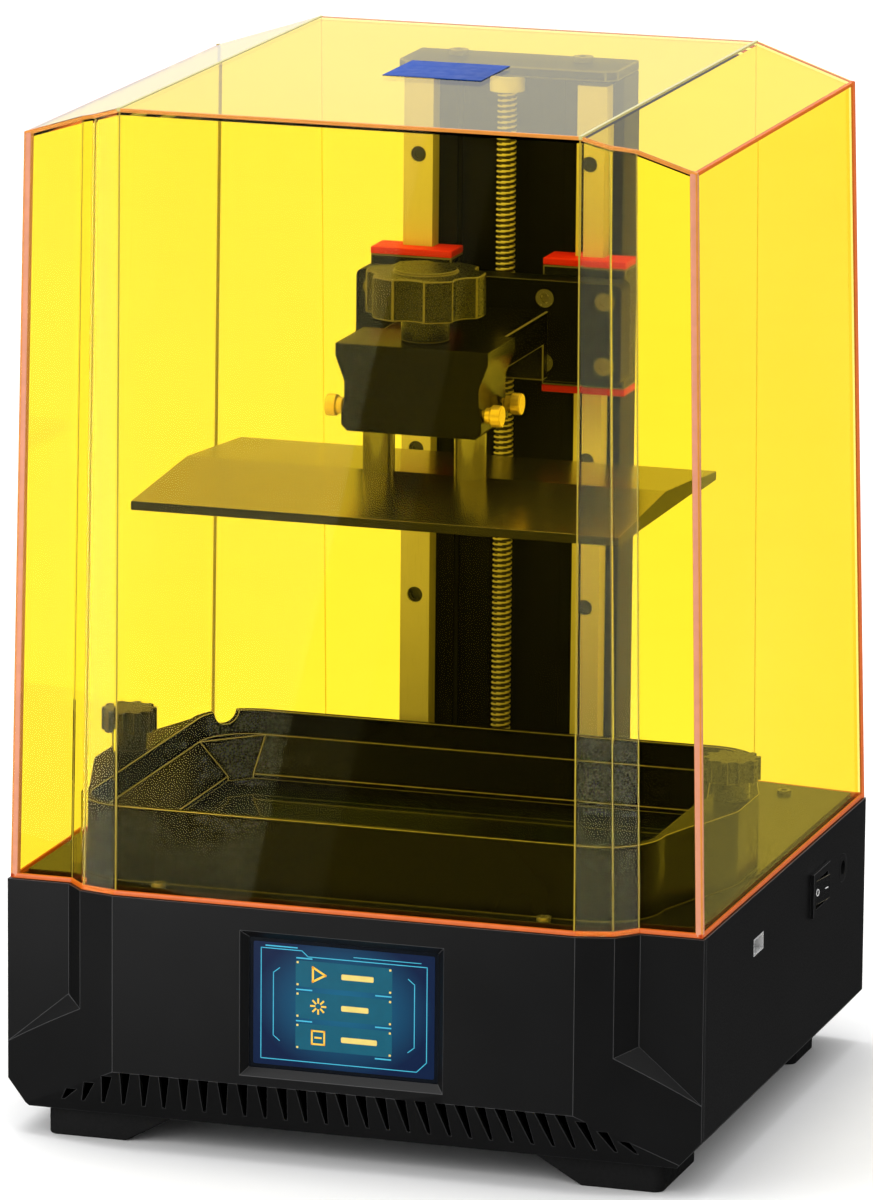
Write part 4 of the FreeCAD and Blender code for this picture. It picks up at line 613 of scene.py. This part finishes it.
SCREEN_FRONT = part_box("touchscreen")[0].y
SCREEN_MIDDLE = 64.1
SCREEN_HALF = (36.6, 24.4)
SCREEN_LAYER = 0.06 * MM
GROUND_LAYER, FRAME_LAYER, SIGN_LAYER = 1, 2, 3
CORNER_SEGMENTS = 4
FRAME_WIDTH, TICK_WIDTH, TITLE_WIDTH, STATUS_WIDTH = 0.35, 0.55, 0.5, 0.3
SIGN_WIDTH, PLAY_WIDTH = 0.7, 0.8
GROUND_ROUNDING, BUTTON_ROUNDING, LABEL_ROUNDING, DOT_ROUNDING = 0.8, 1.0, 0.5, 0.15
FRAME_LINE = [(-33.5, 22.0), (-17.0, 22.0), (-14.5, 19.8), (33.5, 19.8), (33.5, -18.0), (29.5, -22.0),
              (-33.5, -22.0), (-33.5, 22.0)]
BRACKET = [(26.0, 14.5), (28.5, 12.5), (28.5, -12.5), (26.0, -14.5)]
TITLE_LINE = [(-31.5, 23.0), (-19.0, 23.0)]
STATUS_LINE = [(4.0, 21.2), (31.0, 21.2)]
BUTTON_ROWS = (13.0, 0.5, -12.0)
BUTTON_HALF = (19.5, 5.2)
TICK_START, TICK_END, TICK_RISE = 13.0, 19.0, 6.1
DOT_PLACE = (18.7, 4.4)
DOT_HALF = 0.4
LABEL_START, LABEL_ENDS, LABEL_HALF = -1.0, (12.0, 10.0, 13.5), 1.1
# Signs, measured up from their own row
PLAY_SIGN = [(-12.5, -2.8), (-12.5, 2.8), (-7.5, 0.0), (-12.5, -2.8)]
BOX_SIGN = [(-12.8, -2.6), (-7.8, -2.6), (-7.8, 2.6), (-12.8, 2.6), (-12.8, -2.6)]
BOX_BAR = [(-11.4, 0.0), (-9.2, 0.0)]
WHEEL_MIDDLE, WHEEL_INNER, WHEEL_OUTER, WHEEL_SPOKES = -10.3, 1.5, 2.9, 8


def screen_point(across, up, layer):
    return Vector((across * MM, SCREEN_FRONT - layer * SCREEN_LAYER, (SCREEN_MIDDLE + up) * MM))


def screen_plate(x0, z0, x1, z1, layer, rounding):
    """A thin lit plate on the panel with rounded corners."""
    clear_selection()
    bpy.ops.mesh.primitive_cube_add(size=1, location=screen_point((x0 + x1) / 2, (z0 + z1) / 2, layer))
    plate = bpy.context.object
    plate.scale = ((x1 - x0) * MM, SCREEN_LAYER, (z1 - z0) * MM)
    settle(plate)
    pick_edges(plate, lambda start, end: abs(start.y - end.y) > 0.5 * SCREEN_LAYER)
    bpy.ops.mesh.bevel(offset=rounding * MM, segments=CORNER_SEGMENTS, affect="EDGES")
    bpy.ops.object.mode_set(mode="OBJECT")
    return plate


def screen_stroke(spots, width, layer, rise=0.0):
    """A thin drawn line on the panel."""
    points = [screen_point(across, up + rise, layer) for across, up in spots]
    strokes = []
    for start, end in zip(points, points[1:]):
        run = end - start
        clear_selection()
        bpy.ops.mesh.primitive_cube_add(size=1, location=(start + end) / 2,
                                        rotation=(0, -math.atan2(run.z, run.x), 0))
        stroke = bpy.context.object
        stroke.scale = (run.length + width * MM, SCREEN_LAYER, width * MM)
        strokes.append(settle(stroke))
    return strokes


def screen_piece(name, pieces, finish):
    return dress(merge_pieces(name, pieces), finish, "base", slot_of["touchscreen"])


def screen_lines():
    """The frame, its side brackets, the title's lines and two ticks at each button."""
    lines = screen_stroke(FRAME_LINE, FRAME_WIDTH, FRAME_LAYER)
    for side in (-1, 1):
        bracket = [(side * across, up) for across, up in BRACKET]
        lines += screen_stroke(bracket, FRAME_WIDTH, FRAME_LAYER)
    for row in BUTTON_ROWS:
        for tick in ([(-TICK_END, TICK_RISE), (-TICK_START, TICK_RISE)],
                     [(TICK_START, -TICK_RISE), (TICK_END, -TICK_RISE)]):
            lines += screen_stroke(tick, TICK_WIDTH, SIGN_LAYER, row)
    lines += screen_stroke(TITLE_LINE, TITLE_WIDTH, SIGN_LAYER)
    lines += screen_stroke(STATUS_LINE, STATUS_WIDTH, SIGN_LAYER)
    return lines


def screen_signs():
    """A start arrow, a settings wheel and a box, one to a button."""
    start_row, wheel_row, box_row = BUTTON_ROWS
    signs = screen_stroke(PLAY_SIGN, PLAY_WIDTH, SIGN_LAYER, start_row)
    for spoke in range(WHEEL_SPOKES):
        angle = 2 * math.pi * spoke / WHEEL_SPOKES
        ends = [(WHEEL_MIDDLE + reach * math.cos(angle), reach * math.sin(angle))
                for reach in (WHEEL_INNER, WHEEL_OUTER)]
        signs += screen_stroke(ends, SIGN_WIDTH, SIGN_LAYER, wheel_row)
    signs += screen_stroke(BOX_SIGN, SIGN_WIDTH, SIGN_LAYER, box_row)
    signs += screen_stroke(BOX_BAR, SIGN_WIDTH, SIGN_LAYER, box_row)
    return signs


def screen_picture():
    """A plain home page: frame lines, and three buttons with signs and label bars."""
    width, height = SCREEN_HALF
    ground = screen_plate(-width, -height, width, height, GROUND_LAYER, GROUND_ROUNDING)
    screen_piece("screen_ground", [ground], screen_navy)
    screen_piece("screen_lines", screen_lines(), screen_line)
    half_width, half_height = BUTTON_HALF
    buttons, labels, dots = [], [], []
    for row, label_end in zip(BUTTON_ROWS, LABEL_ENDS):
        buttons.append(screen_plate(-half_width, row - half_height, half_width, row + half_height,
                                    FRAME_LAYER, BUTTON_ROUNDING))
        for x in (-DOT_PLACE[0], DOT_PLACE[0]):
            for z in (row - DOT_PLACE[1], row + DOT_PLACE[1]):
                dots.append(screen_plate(x - DOT_HALF, z - DOT_HALF, x + DOT_HALF, z + DOT_HALF,
                                         SIGN_LAYER, DOT_ROUNDING))
        labels.append(screen_plate(LABEL_START, row - LABEL_HALF, label_end, row + LABEL_HALF,
                                   SIGN_LAYER, LABEL_ROUNDING))
    signs = screen_signs()
    screen_piece("screen_buttons", buttons, screen_teal)
    screen_piece("screen_signs", signs, screen_yellow)
    screen_piece("screen_labels", labels + dots, screen_gold)


# Switch marks

MARK_PLACE = 0.28
RING_RADIUS, RING_LINE = 1.3 * MM, 0.22 * MM
BAR_SIZE = (2.8 * MM, 0.45 * MM, 0.3 * MM)
MARK_START = 10 * MM


def rocker_marks():
    """The plain off ring and on bar on the rocker's face."""
    low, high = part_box("power_rocker")
    middle = (low + high) / 2
    marks = []
    for place in (-MARK_PLACE, MARK_PLACE):
        start = Vector((high.x + MARK_START, middle.y + place * (high.y - low.y), middle.z))
        hit, where, normal, _ = eased["power_rocker"].ray_cast(start, Vector((-1, 0, 0)))
        if not hit:
            continue
        turn = normal.to_track_quat("Z", "Y").to_euler()
        clear_selection()
        if place < 0:
            bpy.ops.mesh.primitive_torus_add(location=where, rotation=turn, major_radius=RING_RADIUS,
                                             minor_radius=RING_LINE, major_segments=24, minor_segments=6)
        else:
            bpy.ops.mesh.primitive_cube_add(size=1, location=where, rotation=turn)
            bpy.context.object.scale = BAR_SIZE
        marks.append(settle(bpy.context.object))
    return dress(merge_pieces("rocker_marks", marks), white_mark, "rocker", slot_of["power_rocker"])


hood_edges()
lead_thread()
screen_picture()
rocker_marks()


# Studio

SKY_GLOW, SKY_IN_MIRRORS = 0.72, 0.06
CEILING_GLOW, CEILING_ANGLE = 0.9, math.radians(100)
CEILING_TILT = (math.radians(12), math.radians(-10), 0)
FLOOR_SIZE = 40
CARD_ROLL = math.radians(-13)
# Softboxes: place, aim, size, brightness, roll
SOFTBOXES = {
    "top_softbox": ((-0.35, 0.1, 2.5), (0, 0, 0.2), (1.5, 1.5), 3.8, 0),
    "rear_softbox": ((-1.4, 3.2, 0.92), (-0.2, 0, 0.4), (5.4, 1.9), 1.0, 0),
    "left_softbox": ((-2.0, -1.4, 1.0), (0, 0, 0.2), (0.8, 1.6), 1.6, 0),
    "base_card": ((-0.285, -0.64, 0.17), (-0.285, 0.0, 0.17), (0.30, 0.36), 1.4, CARD_ROLL),
}
# Cards that show only as pale bands in the hood's sheets: the spot and facing of the sheet that shows
# each, how far off the card is, size, brightness, roll. A grid narrows their light.
HOOD_CARDS = {
    "front_card": ((-0.136, -0.128, 0.28), (0, -1, 0), 0.5, (0.30, 0.36), 8.5, CARD_ROLL),
    "fold_card_right": ((0.10, -0.126, 0.25), (0.255, -0.967, 0), 0.5, (0.10, 0.40), 18.0, 0),
    "fold_card_left": ((-0.10, -0.126, 0.25), (-0.255, -0.967, 0), 0.5, (0.12, 0.40), 22.0, 0),
    "step_card": ((0.111, -0.12, 0.25), (0.743, -0.669, 0), 0.3, (0.16, 0.36), 16.0, 0),
}
CARD_SPREAD = math.radians(12)
# A gridded lamp gathers its power along its axis, so it needs only this share of it
CARD_SHARE = 1 - CARD_SPREAD / math.tan(CARD_SPREAD)


def add_floor():
    clear_selection()
    bpy.ops.mesh.primitive_plane_add(size=FLOOR_SIZE)
    floor = name_piece("studio_floor")
    paint(floor, grained("studio_white", grey(0.95), 0.9, 4.0, 0.0, specular=0.0, mottle=0.01))
    floor.visible_glossy = False


def aimed(place, aim, roll):
    """The turn of a lamp or camera at a place that looks at its aim."""
    turn = (Vector(aim) - Vector(place)).to_track_quat("-Z", "Y").to_matrix().to_4x4()
    return (turn @ Matrix.Rotation(roll, 4, "Z")).to_euler()


def add_softbox(name, place, aim, size, glow, roll):
    """A soft panel of a given brightness, seen only in what it lights and in reflections."""
    clear_selection()
    bpy.ops.object.light_add(type="AREA", location=place, rotation=aimed(place, aim, roll))
    lamp = name_piece(name)
    lamp.data.shape = "RECTANGLE"
    lamp.data.size, lamp.data.size_y = size
    lamp.data.energy = glow * math.pi * size[0] * size[1]
    lamp.visible_camera = False
    lamp.visible_transmission = False
    return lamp


def add_hood_cards():
    """Puts each card where the photograph's camera sees it mirrored in its sheet."""
    receivers = bpy.data.collections.new("card_receivers")
    receivers.objects.link(cad_nodes["cover"])
    for name, (spot, facing, reach, size, glow, roll) in HOOD_CARDS.items():
        sight = (CAMERA_PLACE - Vector(spot)).normalized()
        place = Vector(spot) - reach * sight.reflect(Vector(facing).normalized())
        lamp = add_softbox(name, place, spot, size, glow * CARD_SHARE, roll)
        lamp.data.spread = 2 * CARD_SPREAD
        lamp.light_linking.receiver_collection = receivers


def add_ceiling():
    """Wide even light from above."""
    clear_selection()
    bpy.ops.object.light_add(type="SUN", rotation=CEILING_TILT)
    lamp = name_piece("ceiling_light")
    lamp.data.energy = CEILING_GLOW
    lamp.data.angle = CEILING_ANGLE


def add_sky():
    """Even white surroundings that show only faintly in reflections."""
    world = bpy.data.worlds.new("studio_sky")
    world.use_nodes = True
    tree = world.node_tree
    sky = tree.nodes["Background"]
    sky.inputs["Color"].default_value = (1, 1, 1, 1)
    path = tree.nodes.new("ShaderNodeLightPath")
    mirrored = tree.nodes.new("ShaderNodeMath")
    mirrored.operation = "SUBTRACT"
    tree.links.new(path.outputs["Is Glossy Ray"], mirrored.inputs[0])
    tree.links.new(path.outputs["Is Transmission Ray"], mirrored.inputs[1])
    level = add_node(tree, "ShaderNodeMapRange", To_Min=SKY_GLOW, To_Max=SKY_IN_MIRRORS)
    tree.links.new(mirrored.outputs["Value"], level.inputs["Value"])
    tree.links.new(level.outputs["Result"], sky.inputs["Strength"])
    bpy.context.scene.world = world


def add_camera():
    clear_selection()
    bpy.ops.object.camera_add(location=CAMERA_PLACE, rotation=aimed(CAMERA_PLACE, CAMERA_AIM, CAMERA_ROLL))
    camera = name_piece("photo_camera")
    camera.data.lens = CAMERA_LENS
    camera.data.sensor_width = CAMERA_SENSOR
    camera.data.clip_end = CAMERA_REACH
    bpy.context.scene.camera = camera


cad_nodes["cover"].visible_shadow = False
bpy.context.scene.view_settings.view_transform = "Standard"
add_floor()
add_sky()
add_ceiling()
for name, setting in SOFTBOXES.items():
    add_softbox(name, *setting)
add_hood_cards()
add_camera()
